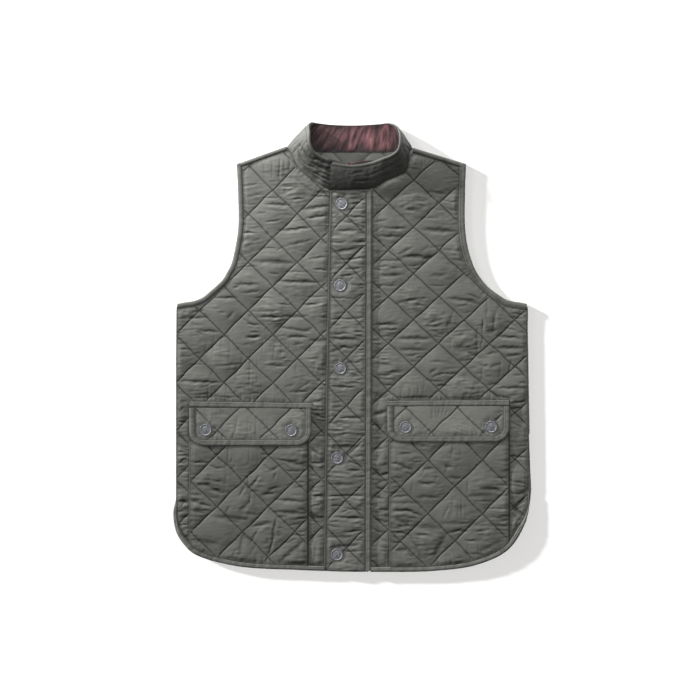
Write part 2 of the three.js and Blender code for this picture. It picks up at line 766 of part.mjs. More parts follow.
// The lining's foot is at the seam behind the neck, and higher where the collar folds at the sides
function liningFoot(row) {
  const fromBack = Math.abs(row - liningEdge.backRow);
  const toFold = THREE.MathUtils.smoothstep(fromBack, liningEdge.backReach, liningEdge.foldReach);
  return liningEdge.backFoot + liningEdge.foldFoot * toFold;
}
addPiece(
  'collar_lining',
  collarBand(lining.fromRow, lining.toRow, liningOuter, liningInner, liningFoot, 1 - lining.rimInset),
  corduroy,
);

// Snap caps: a low dome inside a raised edge
const capProfile = [
  new THREE.Vector2(0, 0),
  new THREE.Vector2(snap.radius - 0.5, 0),
  new THREE.Vector2(snap.radius, 0.6),
  new THREE.Vector2(snap.radius - 0.2, 0.75 * snap.height),
  new THREE.Vector2(snap.radius - 0.9, snap.height),
  new THREE.Vector2(snap.radius - snap.edge, 0.86 * snap.height),
  new THREE.Vector2(0, snap.height + 0.1),
];

function addSnap(place, floor) {
  const cap = new THREE.LatheGeometry(capProfile, snap.sides);
  cap.rotateX(Math.PI / 2);
  cap.translate(place.x, place.y, floor - pressed + gap);
  addPiece(place.name, solidOf(cap), gunmetal);
}
for (const place of snapsOnPlacket) {
  addSnap(place, stitchOnFront);
}
for (const place of snapsOnFlaps) {
  addSnap(place, stitchFlap);
}

export default vest;
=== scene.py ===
import math

import bpy
import numpy as np
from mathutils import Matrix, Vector
from mathutils.geometry import delaunay_2d_cdt


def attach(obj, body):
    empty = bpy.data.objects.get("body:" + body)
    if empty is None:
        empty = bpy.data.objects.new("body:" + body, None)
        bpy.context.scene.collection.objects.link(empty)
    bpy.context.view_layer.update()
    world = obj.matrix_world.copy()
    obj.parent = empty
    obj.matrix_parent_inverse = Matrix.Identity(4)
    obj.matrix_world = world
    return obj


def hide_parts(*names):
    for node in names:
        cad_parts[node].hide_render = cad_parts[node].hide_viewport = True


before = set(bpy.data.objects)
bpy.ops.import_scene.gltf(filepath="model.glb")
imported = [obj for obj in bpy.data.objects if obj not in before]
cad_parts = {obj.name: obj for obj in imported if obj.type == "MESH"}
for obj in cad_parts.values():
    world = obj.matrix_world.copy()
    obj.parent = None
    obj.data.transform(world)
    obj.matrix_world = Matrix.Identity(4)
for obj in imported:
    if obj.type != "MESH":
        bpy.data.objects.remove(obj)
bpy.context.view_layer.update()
scene = bpy.context.scene
mm = 0.001

# Camera, floor and light

studio = {
    "lens": 85,
    "height": 2.479,
    "aim": (-0.003, -0.0045, 0.008),
    "floorSize": 60,
    "floorColour": (0.9, 0.9, 0.9, 1),
    "floorGlow": 0.02,
    "worldStrength": 0.17,
    "suns": {
        "key": {"strength": 5.1, "angle": 3, "height": 14, "from": 153, "shadow": True},
        "top": {"strength": 5.2, "angle": 20, "height": 21, "from": 102, "shadow": False},
    },
    "fill": {
        "power": 0.42, "size": 0.3, "spread": 50, "place": (-0.43, 0.53, 0.34), "aim": (-0.19, 0.27, 0),
    },
    "sunColour": (1, 0.99, 0.975),
    "sunAway": 3,
    "floorBelow": 0.0004,
}


def makeStudio():
    scene.view_settings.view_transform = "Standard"
    scene.view_settings.look = "None"
    camera = bpy.data.objects.new("camera", bpy.data.cameras.new("camera"))
    scene.collection.objects.link(camera)
    camera.data.lens = studio["lens"]
    camera.data.sensor_width = 36
    camera.data.clip_end = 60
    x, y, z = studio["aim"]
    camera.location = (x, y, z + studio["height"])
    scene.camera = camera

    world = bpy.data.worlds.new("soft light")
    world.use_nodes = True
    background = world.node_tree.nodes["Background"]
    background.inputs["Color"].default_value = (1, 1, 1, 1)
    background.inputs["Strength"].default_value = studio["worldStrength"]
    scene.world = world

    for name, look in studio["suns"].items():
        sun = bpy.data.objects.new(name, bpy.data.lights.new(name, "SUN"))
        scene.collection.objects.link(sun)
        sun.data.energy = look["strength"]
        sun.data.angle = math.radians(look["angle"])
        sun.data.use_shadow = look["shadow"]
        sun.data.color = studio["sunColour"]
        turn = math.radians(look["from"])
        rise = math.radians(look["height"])
        source = Vector((math.cos(turn) * math.cos(rise), math.sin(turn) * math.cos(rise), math.sin(rise)))
        sun.rotation_euler = source.to_track_quat("Z", "Y").to_euler()
        sun.location = source * studio["sunAway"]

    look = studio["fill"]
    fill = bpy.data.objects.new("fill", bpy.data.lights.new("fill", "AREA"))
    scene.collection.objects.link(fill)
    fill.data.energy = look["power"]
    fill.data.size = look["size"]
    fill.data.spread = math.radians(look["spread"])
    fill.location = look["place"]
    fill.rotation_euler = (Vector(look["place"]) - Vector(look["aim"])).to_track_quat("Z", "Y").to_euler()

    bpy.ops.mesh.primitive_plane_add(size=studio["floorSize"], location=(0, 0, -studio["floorBelow"]))
    floor = bpy.context.object
    floor.name = "floor"
    paper = bpy.data.materials.new("pale floor")
    paper.use_nodes = True
    shader = paper.node_tree.nodes["Principled BSDF"]
    shader.inputs["Base Color"].default_value = studio["floorColour"]
    shader.inputs["Roughness"].default_value = 0.9
    shader.inputs["Emission Color"].default_value = (1, 1, 1, 1)
    shader.inputs["Emission Strength"].default_value = studio["floorGlow"]
    floor.data.materials.append(paper)


makeStudio()
print("studio done")

# Materials

# dark is the share of the colour left where the painted shade is full
nylonLook = {
    "colour": (0.103, 0.104, 0.0962),
    "dark": 0.27,
    "mottle": 0.13,
    "roughness": 0.58,
    "specular": 0.24,
    "sheen": 0.07,
    "weavePitch": 0.55,
    "weaveBump": 0.10,
    "fineBump": 0.32,
    "wrinkle": (85.0, 330.0, 200.0),
}


def addNode(material, kind, **inputs):
    node = material.node_tree.nodes.new(kind)
    for name, value in inputs.items():
        node.inputs[name].default_value = value
    return node


def newMaterial(name):
    material = bpy.data.materials.new(name)
    material.use_nodes = True
    return material, material.node_tree.nodes["Principled BSDF"], material.node_tree.links


def ramp(material, source, stops):
    node = material.node_tree.nodes.new("ShaderNodeValToRGB")
    elements = node.color_ramp.elements
    elements[0].position, elements[0].color = stops[0]
    elements[1].position, elements[1].color = stops[-1]
    for position, colour in stops[1:-1]:
        elements.new(position).color = colour
    material.node_tree.links.new(source, node.inputs["Fac"])
    return node


def shade(colour, factor):
    return tuple(c * factor for c in colour) + (1,)


# Woven nylon: a fine plain weave and cloudy colour, with painted shade multiplied in from a point
# attribute, darker in the creases and stitched lines
def makeNylon(name, look, tone=1.0):
    material, shader, links = newMaterial(name)
    place = addNode(material, "ShaderNodeTexCoord")
    colour = tuple(c * tone for c in look["colour"])
    clouds = addNode(material, "ShaderNodeTexNoise", Scale=34.0, Detail=5.0, Roughness=0.6)
    links.new(place.outputs["Object"], clouds.inputs["Vector"])
    mottled = ramp(material, clouds.outputs["Fac"], [
        (0.3, shade(colour, 1 - look["mottle"])),
        (0.5, shade(colour, 1)),
        (0.72, shade(colour, 1 + look["mottle"])),
    ])
    # painted shade: the point attribute darkens the colour where shade falls
    toneAndPaintedShade = addNode(material, "ShaderNodeAttribute")
    toneAndPaintedShade.attribute_name = "toneAndPaintedShade"
    deep = ramp(material, toneAndPaintedShade.outputs["Fac"], [
        (0.0, (1, 1, 1, 1)),
        (1.0, (look["dark"], look["dark"], look["dark"], 1)),
    ])
    mix = material.node_tree.nodes.new("ShaderNodeMix")
    mix.data_type = "RGBA"
    mix.blend_type = "MULTIPLY"
    mix.inputs["Factor"].default_value = 1
    links.new(mottled.outputs["Color"], mix.inputs[6])
    links.new(deep.outputs["Color"], mix.inputs[7])
    links.new(mix.outputs[2], shader.inputs["Base Color"])
    rough = addNode(material, "ShaderNodeMapRange")
    rough.inputs["To Min"].default_value = look["roughness"] - 0.06
    rough.inputs["To Max"].default_value = look["roughness"] + 0.08
    links.new(clouds.outputs["Fac"], rough.inputs["Value"])
    links.new(rough.outputs["Result"], shader.inputs["Roughness"])
    shader.inputs["Sheen Weight"].default_value = look["sheen"]
    shader.inputs["Sheen Roughness"].default_value = 0.4
    shader.inputs["Specular IOR Level"].default_value = look["specular"]

    threads = []
    for direction in ("X", "Y"):
        wave = addNode(material, "ShaderNodeTexWave", Scale=50 / look["weavePitch"])
        wave.wave_type = "BANDS"
        wave.bands_direction = direction
        wave.inputs["Distortion"].default_value = 0.6
        wave.inputs["Detail"].default_value = 1
        links.new(place.outputs["Object"], wave.inputs["Vector"])
        threads.append(wave)
    weave = material.node_tree.nodes.new("ShaderNodeMath")
    weave.operation = "MULTIPLY"
    links.new(threads[0].outputs["Fac"], weave.inputs[0])
    links.new(threads[1].outputs["Fac"], weave.inputs[1])
    weaveBump = addNode(material, "ShaderNodeBump", Strength=look["weaveBump"], Distance=0.0001)
    links.new(weave.outputs["Value"], weaveBump.inputs["Height"])
    wide = addNode(material, "ShaderNodeMapping", Scale=look["wrinkle"])
    links.new(place.outputs["Object"], wide.inputs["Vector"])
    crumple = addNode(material, "ShaderNodeTexNoise", Scale=1.0, Detail=5.0, Roughness=0.62, Distortion=0.6)
    links.new(wide.outputs["Vector"], crumple.inputs["Vector"])
    fineBump = addNode(material, "ShaderNodeBump", Strength=look["fineBump"], Distance=0.001)
    links.new(crumple.outputs["Fac"], fineBump.inputs["Height"])
    links.new(weaveBump.outputs["Normal"], fineBump.inputs["Normal"])
    links.new(fineBump.outputs["Normal"], shader.inputs["Normal"])
    return material


corduroyLook = {"ridge": (0.235, 0.096, 0.106), "groove": (0.009, 0.003, 0.004), "sheen": 0.1}


# Corduroy: soft ridges, darker between them, partly its own colour and partly painted shade, with a deep
# pile
def makeCorduroy(name, look):
    material, shader, links = newMaterial(name)
    place = addNode(material, "ShaderNodeTexCoord")
    wale = addNode(material, "ShaderNodeAttribute")
    wale.attribute_name = "wale"
    # the ramp turns the lining's painted light and shade into colour, from the groove colour to the ridge
    # colour
    pileAndPaintedLight = ramp(material, wale.outputs["Fac"], [(0.0, look["groove"] + (1,)), (0.85, look["ridge"] + (1,))])
    worn = addNode(material, "ShaderNodeTexNoise", Scale=120.0, Detail=6.0, Roughness=0.7)
    links.new(place.outputs["Object"], worn.inputs["Vector"])
    wear = ramp(material, worn.outputs["Fac"], [(0.3, (0.72, 0.72, 0.72, 1)), (0.7, (1.2, 1.2, 1.2, 1))])
    mix = material.node_tree.nodes.new("ShaderNodeMix")
    mix.data_type = "RGBA"
    mix.blend_type = "MULTIPLY"
    mix.inputs["Factor"].default_value = 1
    links.new(pileAndPaintedLight.outputs["Color"], mix.inputs[6])
    links.new(wear.outputs["Color"], mix.inputs[7])
    links.new(mix.outputs[2], shader.inputs["Base Color"])
    shader.inputs["Roughness"].default_value = 0.85
    shader.inputs["Sheen Weight"].default_value = look["sheen"]
    shader.inputs["Sheen Roughness"].default_value = 0.5
    fibres = addNode(material, "ShaderNodeTexNoise", Scale=1800.0, Detail=3.0, Roughness=0.6)
    links.new(place.outputs["Object"], fibres.inputs["Vector"])
    bump = addNode(material, "ShaderNodeBump", Strength=0.35, Distance=0.0004)
    links.new(fibres.outputs["Fac"], bump.inputs["Height"])
    links.new(bump.outputs["Normal"], shader.inputs["Normal"])
    return material


metalLook = {"colour": (0.205, 0.213, 0.232), "roughness": 0.5, "metallic": 0.55}


# Painted gunmetal with fine rubbed marks
def makeGunmetal(name, look):
    material, shader, links = newMaterial(name)
    place = addNode(material, "ShaderNodeTexCoord")
    marks = addNode(material, "ShaderNodeTexNoise", Scale=420.0, Detail=6.0, Roughness=0.7)
    links.new(place.outputs["Object"], marks.inputs["Vector"])
    tone = ramp(material, marks.outputs["Fac"], [
        (0.38, shade(look["colour"], 0.5)),
        (0.62, shade(look["colour"], 1.35)),
    ])
    links.new(tone.outputs["Color"], shader.inputs["Base Color"])
    rough = addNode(material, "ShaderNodeMapRange")
    rough.inputs["To Min"].default_value = look["roughness"] - 0.08
    rough.inputs["To Max"].default_value = look["roughness"] + 0.12
    links.new(marks.outputs["Fac"], rough.inputs["Value"])
    links.new(rough.outputs["Result"], shader.inputs["Roughness"])
    shader.inputs["Metallic"].default_value = look["metallic"]
    bump = addNode(material, "ShaderNodeBump", Strength=0.06, Distance=0.0004)
    links.new(marks.outputs["Fac"], bump.inputs["Height"])
    links.new(bump.outputs["Normal"], shader.inputs["Normal"])
    return material


nylon = makeNylon("woven nylon", nylonLook)
nylonTrim = makeNylon("nylon binding", nylonLook, 1.06)
# painted shade: the pocket copy is darker; painted light: the flap copy is lighter
nylonPocketPaintedShade = makeNylon("pocket nylon", nylonLook, 0.9)
nylonFlapPaintedLight = makeNylon("flap nylon", nylonLook, 1.3)
thread = makeNylon("sewing thread", nylonLook, 0.62)
corduroy = makeCorduroy("corduroy pile", corduroyLook)
gunmetal = makeGunmetal("gunmetal", metalLook)

# Numbers: noise and paths


def cornerTurn(i, j, seed):
    value = (i * 374761393 + j * 668265263 + seed * 144269) & 0xFFFFFFFF
    value = ((value ^ (value >> 13)) * 1274126177) & 0xFFFFFFFF
    return (value ^ (value >> 16)) / 4294967295 * 2 * math.pi


# Smooth noise from about -1 to 1, with one bump to a unit
def noise(x, y, seed):
    i = np.floor(x).astype(np.int64)
    j = np.floor(y).astype(np.int64)
    fx = x - i
    fy = y - j
    u = fx * fx * fx * (fx * (fx * 6 - 15) + 10)
    v = fy * fy * fy * (fy * (fy * 6 - 15) + 10)
    corners = []
    for di in (0, 1):
        for dj in (0, 1):
            turn = cornerTurn(i + di, j + dj, seed)
            corners.append(np.cos(turn) * (fx - di) + np.sin(turn) * (fy - dj))
    low = corners[0] * (1 - v) + corners[1] * v
    high = corners[2] * (1 - v) + corners[3] * v
    return (low * (1 - u) + high * u) * 1.6


def smoothStep(value, low, high):
    t = np.clip((value - low) / (high - low), 0, 1)
    return t * t * (3 - 2 * t)


# A smooth curve through knots of any dimension; t from 0 to 1 counts the knots evenly
def curvePoint(knots, t):
    last = len(knots) - 1
    place = min(max(t, 0.0), 1.0) * last
    i = min(int(place), last - 1)
    w = place - i
    one, two = knots[i], knots[i + 1]
    before = knots[i - 1] if i > 0 else 2 * one - two
    after = knots[i + 2] if i + 2 <= last else 2 * two - one
    step = max(np.linalg.norm(two - one) ** 0.5, 1e-4)
    stepBefore = max(np.linalg.norm(one - before) ** 0.5, 1e-4)
    stepAfter = max(np.linalg.norm(after - two) ** 0.5, 1e-4)
    leave = (one - before) / stepBefore - (two - before) / (stepBefore + step) + (two - one) / step
    reach = (two - one) / step - (after - one) / (step + stepAfter) + (after - two) / stepAfter
    leave = leave * step
    reach = reach * step
    square = w * w
    return (one + leave * w + (3 * (two - one) - 2 * leave - reach) * square
            + (2 * (one - two) + leave + reach) * square * w)


def evenly(path, spacing):
    path = np.array(path, float)
    reach = alongPath(path)
    count = max(int(round(reach[-1] / spacing)), 1)
    places = np.linspace(0, reach[-1], count + 1)
    return np.stack([np.interp(places, reach, path[:, k]) for k in range(path.shape[1])], axis=1)


def smoothPath(rows, spacing):
    knots = np.array(rows, float)
    count = 24 * (len(knots) - 1)
    return evenly([curvePoint(knots, k / count) for k in range(count + 1)], spacing)


def acrossPath(path):
    ahead = np.vstack([path[1:], path[-1:]])
    behind = np.vstack([path[:1], path[:-1]])
    along = ahead - behind
    along = along / np.linalg.norm(along, axis=1)[:, None]
    return np.stack([-along[:, 1], along[:, 0]], axis=1)


def offsetPath(path, side, distance):
    return path + acrossPath(path) * side * distance


# How far along a path each of its points is
def alongPath(path):
    return np.concatenate([[0], np.cumsum(np.hypot(*np.diff(path[:, :2], axis=0).T))])


def pathLength(path):
    return float(alongPath(path)[-1])


# Distance of points to a path, and how far along it the nearest place is
def nearPath(x, y, path):
    best = np.full(x.shape, 1e9)
    along = np.zeros(x.shape)
    start = 0.0
    for one, two in zip(path[:-1], path[1:]):
        dx, dy = two - one
        length = math.hypot(dx, dy)
        if length < 1e-6:
            continue
        t = np.clip(((x - one[0]) * dx + (y - one[1]) * dy) / length ** 2, 0, 1)
        distance = np.hypot(x - one[0] - t * dx, y - one[1] - t * dy)
        closer = distance < best
        best = np.where(closer, distance, best)
        along = np.where(closer, start + t * length, along)
        start += length
    return best, along


def insideOf(x, y, loop):
    inside = np.zeros(x.shape, bool)
    for (ax, ay), (bx, by) in zip(loop, np.roll(loop, -1, axis=0)):
        if ay == by:
            continue
        crosses = (ay > y) != (by > y)
        inside ^= crosses & (x < (bx - ax) * (y - ay) / (by - ay) + ax)
    return inside


def joinPaths(*paths):
    points = np.vstack(paths)
    keep = [0]
    for i in range(1, len(points)):
        if np.hypot(*(points[i] - points[keep[-1]])) > 0.05:
            keep.append(i)
    points = points[keep]
    if np.hypot(*(points[-1] - points[0])) < 0.05:
        points = points[:-1]
    return points


# Mesh making

rideOn = "root"


def makeObject(name, points, faces, material, toneAndPaintedShade=None, attribute="toneAndPaintedShade", sharp=50):
    mesh = bpy.data.meshes.new(name)
    mesh.from_pydata((np.array(points, float) * mm).tolist(), [], faces)
    mesh.validate()
    mesh.polygons.foreach_set("use_smooth", [True] * len(mesh.polygons))
    mesh.set_sharp_from_angle(angle=math.radians(sharp))
    # a point attribute for the material: painted shade, or on the corduroy lining its wale tone with
    # painted light and shade
    if toneAndPaintedShade is not None:
        layer = mesh.attributes.new(attribute, "FLOAT", "POINT")
        layer.data.foreach_set("value", np.array(toneAndPaintedShade, np.float32))
    mesh.materials.append(material)
    piece = bpy.data.objects.new(name, mesh)
    scene.collection.objects.link(piece)
    return piece


class Parts:
    # Gathers several closed skins into one mesh
    def __init__(self):
        self.points = []
        self.faces = []
        self.toneAndPaintedShade = []
        self.count = 0

    def add(self, points, faces, toneAndPaintedShade=None):
        points = np.array(points, float)
        self.points.append(points)
        self.faces.extend([tuple(int(k) + self.count for k in face) for face in faces])
        self.toneAndPaintedShade.append(np.zeros(len(points)) if toneAndPaintedShade is None else np.array(toneAndPaintedShade, float))
        self.count += len(points)

    def build(self, name, material, attribute="toneAndPaintedShade", sharp=50):
        return makeObject(name, np.vstack(self.points), self.faces, material,
                          np.concatenate(self.toneAndPaintedShade), attribute, sharp)


def sheetArea(loop):
    x, y = loop[:, 0], loop[:, 1]
    return abs(np.sum(x * np.roll(y, -1) - np.roll(x, -1) * y)) / 2 * mm * mm


# The faces of a closed skin over rows of rings; each end is closed across its ring
def ringFaces(rows, size):
    here = np.arange((rows - 1) * size).reshape(rows - 1, size)
    nextOne = np.roll(here, -1, axis=1)
    quads = np.stack([here, nextOne, nextOne + size, here + size], axis=-1).reshape(-1, 4)
    faces = [tuple(q) for q in quads.tolist()]
    faces.append(tuple(range(size - 1, -1, -1)))
    faces.append(tuple(range((rows - 1) * size, rows * size)))
    return faces


def outwardFaces(points, faces):
    total = 0.0
    points = np.array(points, float)
    centre = points.mean(axis=0)
    for face in faces[:-2]:
        a, b, c = points[face[0]] - centre, points[face[1]] - centre, points[face[2]] - centre
        total += np.dot(a, np.cross(b, c))
    return faces if total > 0 else [tuple(reversed(face)) for face in faces]


swayBy = 1.1


# How far the quilting lines sway from straight
def sway(x, y):
    return swayBy * noise(x / 27, y / 25, 71), swayBy * noise(x / 24, y / 28, 73)


# Lines one and two are the two sets of slanting stitch lines, a whole number on each line
def stitchLines(quilt, x, y):
    aside, above = sway(x, y)
    x, y = x - aside, y - above
    one = (x - quilt["x"]) / quilt["across"] + (y - quilt["y"]) / quilt["along"]
    two = (x - quilt["x"]) / quilt["across"] - (y - quilt["y"]) / quilt["along"]
    return one, two


def latticePoints(quilt, loop, steps, crowd):
    one, two = stitchLines(quilt, loop[:, 0], loop[:, 1])
    ranges = []
    for values in (one, two):
        start, end = math.floor(values.min()) - 1, math.ceil(values.max()) + 1
        t = np.arange((end - start) * steps + 1) / steps
        part = t - np.floor(t)
        ranges.append(start + np.floor(t) + part - crowd * np.sin(2 * np.pi * part) / (2 * np.pi))
    one, two = np.meshgrid(*ranges, indexing="ij")
    i, j = np.meshgrid(np.arange(len(ranges[0])), np.arange(len(ranges[1])), indexing="ij")
    x = quilt["x"] + quilt["across"] * (one + two) / 2
    y = quilt["y"] + quilt["along"] * (one - two) / 2
    aside, above = sway(x, y)
    return (x + aside).ravel(), (y + above).ravel(), i.ravel(), j.ravel()


# A closed thin shell: a worked-out top, a side wall and a bottom, with the same outline.
# In hidden places, where sparse says so, only every fourth point of the lattice is used.
def panelParts(parts, loop, quilt, steps, topOf, bottomOf, spacing=1.8, crowd=0.35, sparse=None,
               fineBottom=False):
    rim = evenly(np.vstack([loop, loop[:1]]), spacing)[:-1]
    x, y, i, j = latticePoints(quilt, rim, steps, crowd)
    low, high = rim.min(axis=0), rim.max(axis=0)
    keep = (x > low[0]) & (x < high[0]) & (y > low[1]) & (y < high[1])
    x, y, i, j = x[keep], y[keep], i[keep], j[keep]
    keep = insideOf(x, y, rim)
    if sparse is not None:
        keep &= ~sparse(x, y) | ((i % 4 == 0) & (j % 4 == 0))
    x, y = x[keep], y[keep]
    distance, _ = nearPath(x, y, np.vstack([rim, rim[:1]]))
    keep = distance > 0.42 * spacing
    x, y = x[keep], y[keep]
    count = len(rim)
    flat = [Vector(p) for p in rim.tolist()] + [Vector(p) for p in zip(x.tolist(), y.tolist())]
    edges = [(k, (k + 1) % count) for k in range(count)]
    made = delaunay_2d_cdt(flat, edges, [], 1, 1e-4)
    spots = np.array([tuple(v) for v in made[0]])
    source = np.array([o[0] if o else -1 for o in made[3]])
    triangles = np.array(made[2])
    middle = spots[triangles].mean(axis=1)
    triangles = triangles[insideOf(middle[:, 0], middle[:, 1], rim)]
    ring = np.full(count, -1)
    for at, was in enumerate(source):
        if 0 <= was < count:
            ring[was] = at
    top, toneAndPaintedShade = topOf(spots[:, 0], spots[:, 1])
    points = [np.column_stack([spots, top])]
    total = len(spots)
    faces = [tuple(t) for t in triangles.tolist()]
    a, b, c = (spots[triangles[0]][k] for k in range(3))
    if (b[0] - a[0]) * (c[1] - a[1]) - (b[1] - a[1]) * (c[0] - a[0]) < 0:
        faces = [tuple(reversed(t)) for t in faces]
    if fineBottom:
        under, underCrease = bottomOf(spots[:, 0], spots[:, 1])
        points.append(np.column_stack([spots, under]))
        faces += [tuple(total + k for k in reversed(t)) for t in list(faces)]
        below = ring + total
        toneAndPaintedShade = np.concatenate([toneAndPaintedShade, underCrease])
    else:
        under = [Vector(p) for p in rim.tolist()]
        plain = delaunay_2d_cdt(under, edges, [], 1, 1e-4)
        flatSpots = np.array([tuple(v) for v in plain[0]])
        back = np.full(count, -1)
        for at, was in enumerate(plain[3]):
            if was and 0 <= was[0] < count:
                back[was[0]] = at
        flatTriangles = np.array(plain[2])
        middle = flatSpots[flatTriangles].mean(axis=1)
        flatTriangles = flatTriangles[insideOf(middle[:, 0], middle[:, 1], rim)]
        first = flatSpots[flatTriangles[0]]
        turn = np.cross(first[1] - first[0], first[2] - first[0])
        for t in flatTriangles.tolist():
            faces.append(tuple(total + k for k in (reversed(t) if turn > 0 else t)))
        points.append(np.column_stack([flatSpots, bottomOf(flatSpots[:, 0], flatSpots[:, 1])]))
        below = back + total
        toneAndPaintedShade = np.concatenate([toneAndPaintedShade, np.zeros(len(flatSpots))])
    area = np.sum(rim[:, 0] * np.roll(rim[:, 1], -1) - np.roll(rim[:, 0], -1) * rim[:, 1])
    for k in range(count):
        n = (k + 1) % count
        if area > 0:
            faces.append((int(below[k]), int(below[n]), int(ring[n]), int(ring[k])))
        else:
            faces.append((int(below[n]), int(below[k]), int(ring[k]), int(ring[n])))
    parts.add(np.vstack(points), faces, toneAndPaintedShade)


stripLook = {"squareSides": 0.45, "squareTop": 0.55, "middle": 0.42, "swell": 0.25,
             "grooveWidth": 0.8, "grooveDepth": 0.55, "grooveDark": 0.7, "puckerDark": 0.25}


# A rounded strip of cloth along a path, on a flat base, with small uneven puckers, and painted shade in its
# groove and in the dips of its puckers
def stripParts(parts, path, side, width, bottom, top, seed, pucker=0.35, pitch=7.0, groove=None, sides=14):
    path = np.array(path, float)
    across = acrossPath(path) * side
    along = alongPath(path)
    widths = width if np.ndim(width) else np.full(len(path), float(width))
    tops = top if np.ndim(top) else np.full(len(path), float(top))
    look = stripLook
    low = look["middle"]
    section = []
    for k in range(sides):
        turn = 2 * math.pi * (k + 0.5) / sides
        c, s = math.cos(turn), math.sin(turn)
        u = 0.5 - 0.5 * math.copysign(abs(c) ** look["squareSides"], c)
        v = low + (1 - low if s > 0 else low) * math.copysign(abs(s) ** look["squareTop"], s)
        section.append((u, v))
    section = np.array(section)
    ripple = noise(along / pitch, np.full(len(along), 0.5 + seed), seed)
    ripple = ripple + 0.5 * noise(along / (pitch * 0.45), np.full(len(along), 3.5 + seed), seed + 5)
    swell = noise(along / 42, np.full(len(along), 7.5), seed + 9)
    rings = []
    toneAndPaintedShade = []
    for k in range(len(path)):
        u, v = section[:, 0], section[:, 1]
        upper = smoothStep(v, 0.45, 1)
        height = tops[k] - bottom
        z = bottom + v * height + upper * (pucker * ripple[k] + look["swell"] * swell[k])
        deep = np.zeros(len(u))
        if groove is not None:
            dip = np.exp(-((u * widths[k] - groove) / look["grooveWidth"]) ** 2) * upper
            z = z - dip * look["grooveDepth"]
            deep = dip * look["grooveDark"]
        sideways = u * widths[k]
        x = path[k, 0] + across[k, 0] * sideways
        y = path[k, 1] + across[k, 1] * sideways
        rings.append(np.column_stack([x, y, z]))
        # painted shade in the groove and in the dips of the puckers
        toneAndPaintedShade.append(np.clip(deep - look["puckerDark"] * ripple[k] * upper, 0, 1))
    points = np.vstack(rings)
    faces = outwardFaces(points, ringFaces(len(path), sides))
    parts.add(points, faces, np.concatenate(toneAndPaintedShade))


creaseLook = {"length": 0.66, "width": 0.72, "wander": 1.1, "steep": 0.95, "gentle": 1.9, "lip": 0.16}


# Soft troughs, as listed: middle x and y, length, width, slant in degrees, depth, and the bow if bent.
# The upper side of a trough is steep and the lower one gentle. The second value is painted shade: a thin
# dark line along the trough and a wider shade on its upper side.
def creaseDepth(x, y, rows):
    total = np.zeros(x.shape)
    dark = np.zeros(x.shape)
    for cx, cy, length, width, slant, depth, *bow in rows:
        bend = bow[0] if bow else 0
        near = (np.abs(x - cx) < length + 4) & (np.abs(y - cy) < length + 4)
        if not near.any():
            continue
        turn = math.radians(slant)
        dx, dy = x[near] - cx, y[near] - cy
        u = (dx * math.cos(turn) + dy * math.sin(turn)) / (creaseLook["length"] * length)
        v = -dx * math.sin(turn) + dy * math.cos(turn) - bend * (1 - u * u)
        v = v + creaseLook["wander"] * noise(x[near] / 8, y[near] / 8, 401)
        v = v / (creaseLook["width"] * width * (0.5 + 0.5 * np.clip(1 - u * u, 0, 1)))
        fade = np.clip(1 - u * u, 0, 1) ** 0.8 * (1 - 0.4 * math.sin(turn) ** 2)
        lean = np.where(v > 0, creaseLook["steep"], creaseLook["gentle"])
        lip = creaseLook["lip"] * np.exp(-((v + 3.4) / 1.6) ** 2)
        total[near] += depth * fade * (np.exp(-(v / lean) ** 2) - lip)
        # painted shade along the trough and above it
        line = np.exp(-((v - 0.2) / 0.9) ** 2) + 0.42 * np.exp(-((v - 1.3) / 2.1) ** 2)
        dark[near] += depth * fade * line
    return total, dark


# Sewing thread: stitches of three short rings each, at middles with a height and a direction
threadLook = {"pitch": 3.2, "length": 2.4, "radius": 0.23, "sides": 5}


def stitchParts(parts, middles, heights, turns):
    if len(middles) == 0:
        return
    sides = threadLook["sides"]
    count = len(middles)
    corners = np.arange(sides) * 2 * np.pi / sides + 0.3
    rings = []
    for place, size, drop in ((-0.5, 0.55, -0.22), (0, 1, 0.06), (0.5, 0.55, -0.22)):
        reach = place * threadLook["length"]
        across = np.cos(corners)[None, :] * threadLook["radius"] * size
        x = middles[:, :1] + np.cos(turns)[:, None] * reach - np.sin(turns)[:, None] * across
        y = middles[:, 1:] + np.sin(turns)[:, None] * reach + np.cos(turns)[:, None] * across
        z = heights[:, None] + drop + np.sin(corners)[None, :] * threadLook["radius"] * size
        rings.append(np.stack([x, y, z], axis=-1))
    points = np.stack(rings, axis=1).reshape(-1, 3)
    base = np.arange(count)[:, None, None] * 3 * sides
    k = np.arange(sides)
    n = (k + 1) % sides
    quads = []
    for ring in (0, 1):
        low = ring * sides
        quads.append(np.stack([low + k, low + n, low + sides + n, low + sides + k], axis=-1))
    faces = (base + np.concatenate(quads)[None]).reshape(-1, 4).tolist()
    ends = np.array([k[::-1], 2 * sides + k])
    faces += (base + ends[None]).reshape(-1, sides).tolist()
    parts.add(points, outwardFaces(points, faces))


# Stitches along a path, on a worked-out surface or at one level
def sewPath(parts, path, topOf=None, lift=0.05, level=None):
    path = evenly(path, threadLook["pitch"])
    middles = (path[1:] + path[:-1]) / 2
    along = path[1:] - path[:-1]
    if level is None:
        heights = topOf(middles[:, 0], middles[:, 1])[0]
    else:
        heights = np.full(len(middles), float(level))
    stitchParts(parts, middles, heights + lift, np.arctan2(along[:, 1], along[:, 0]))


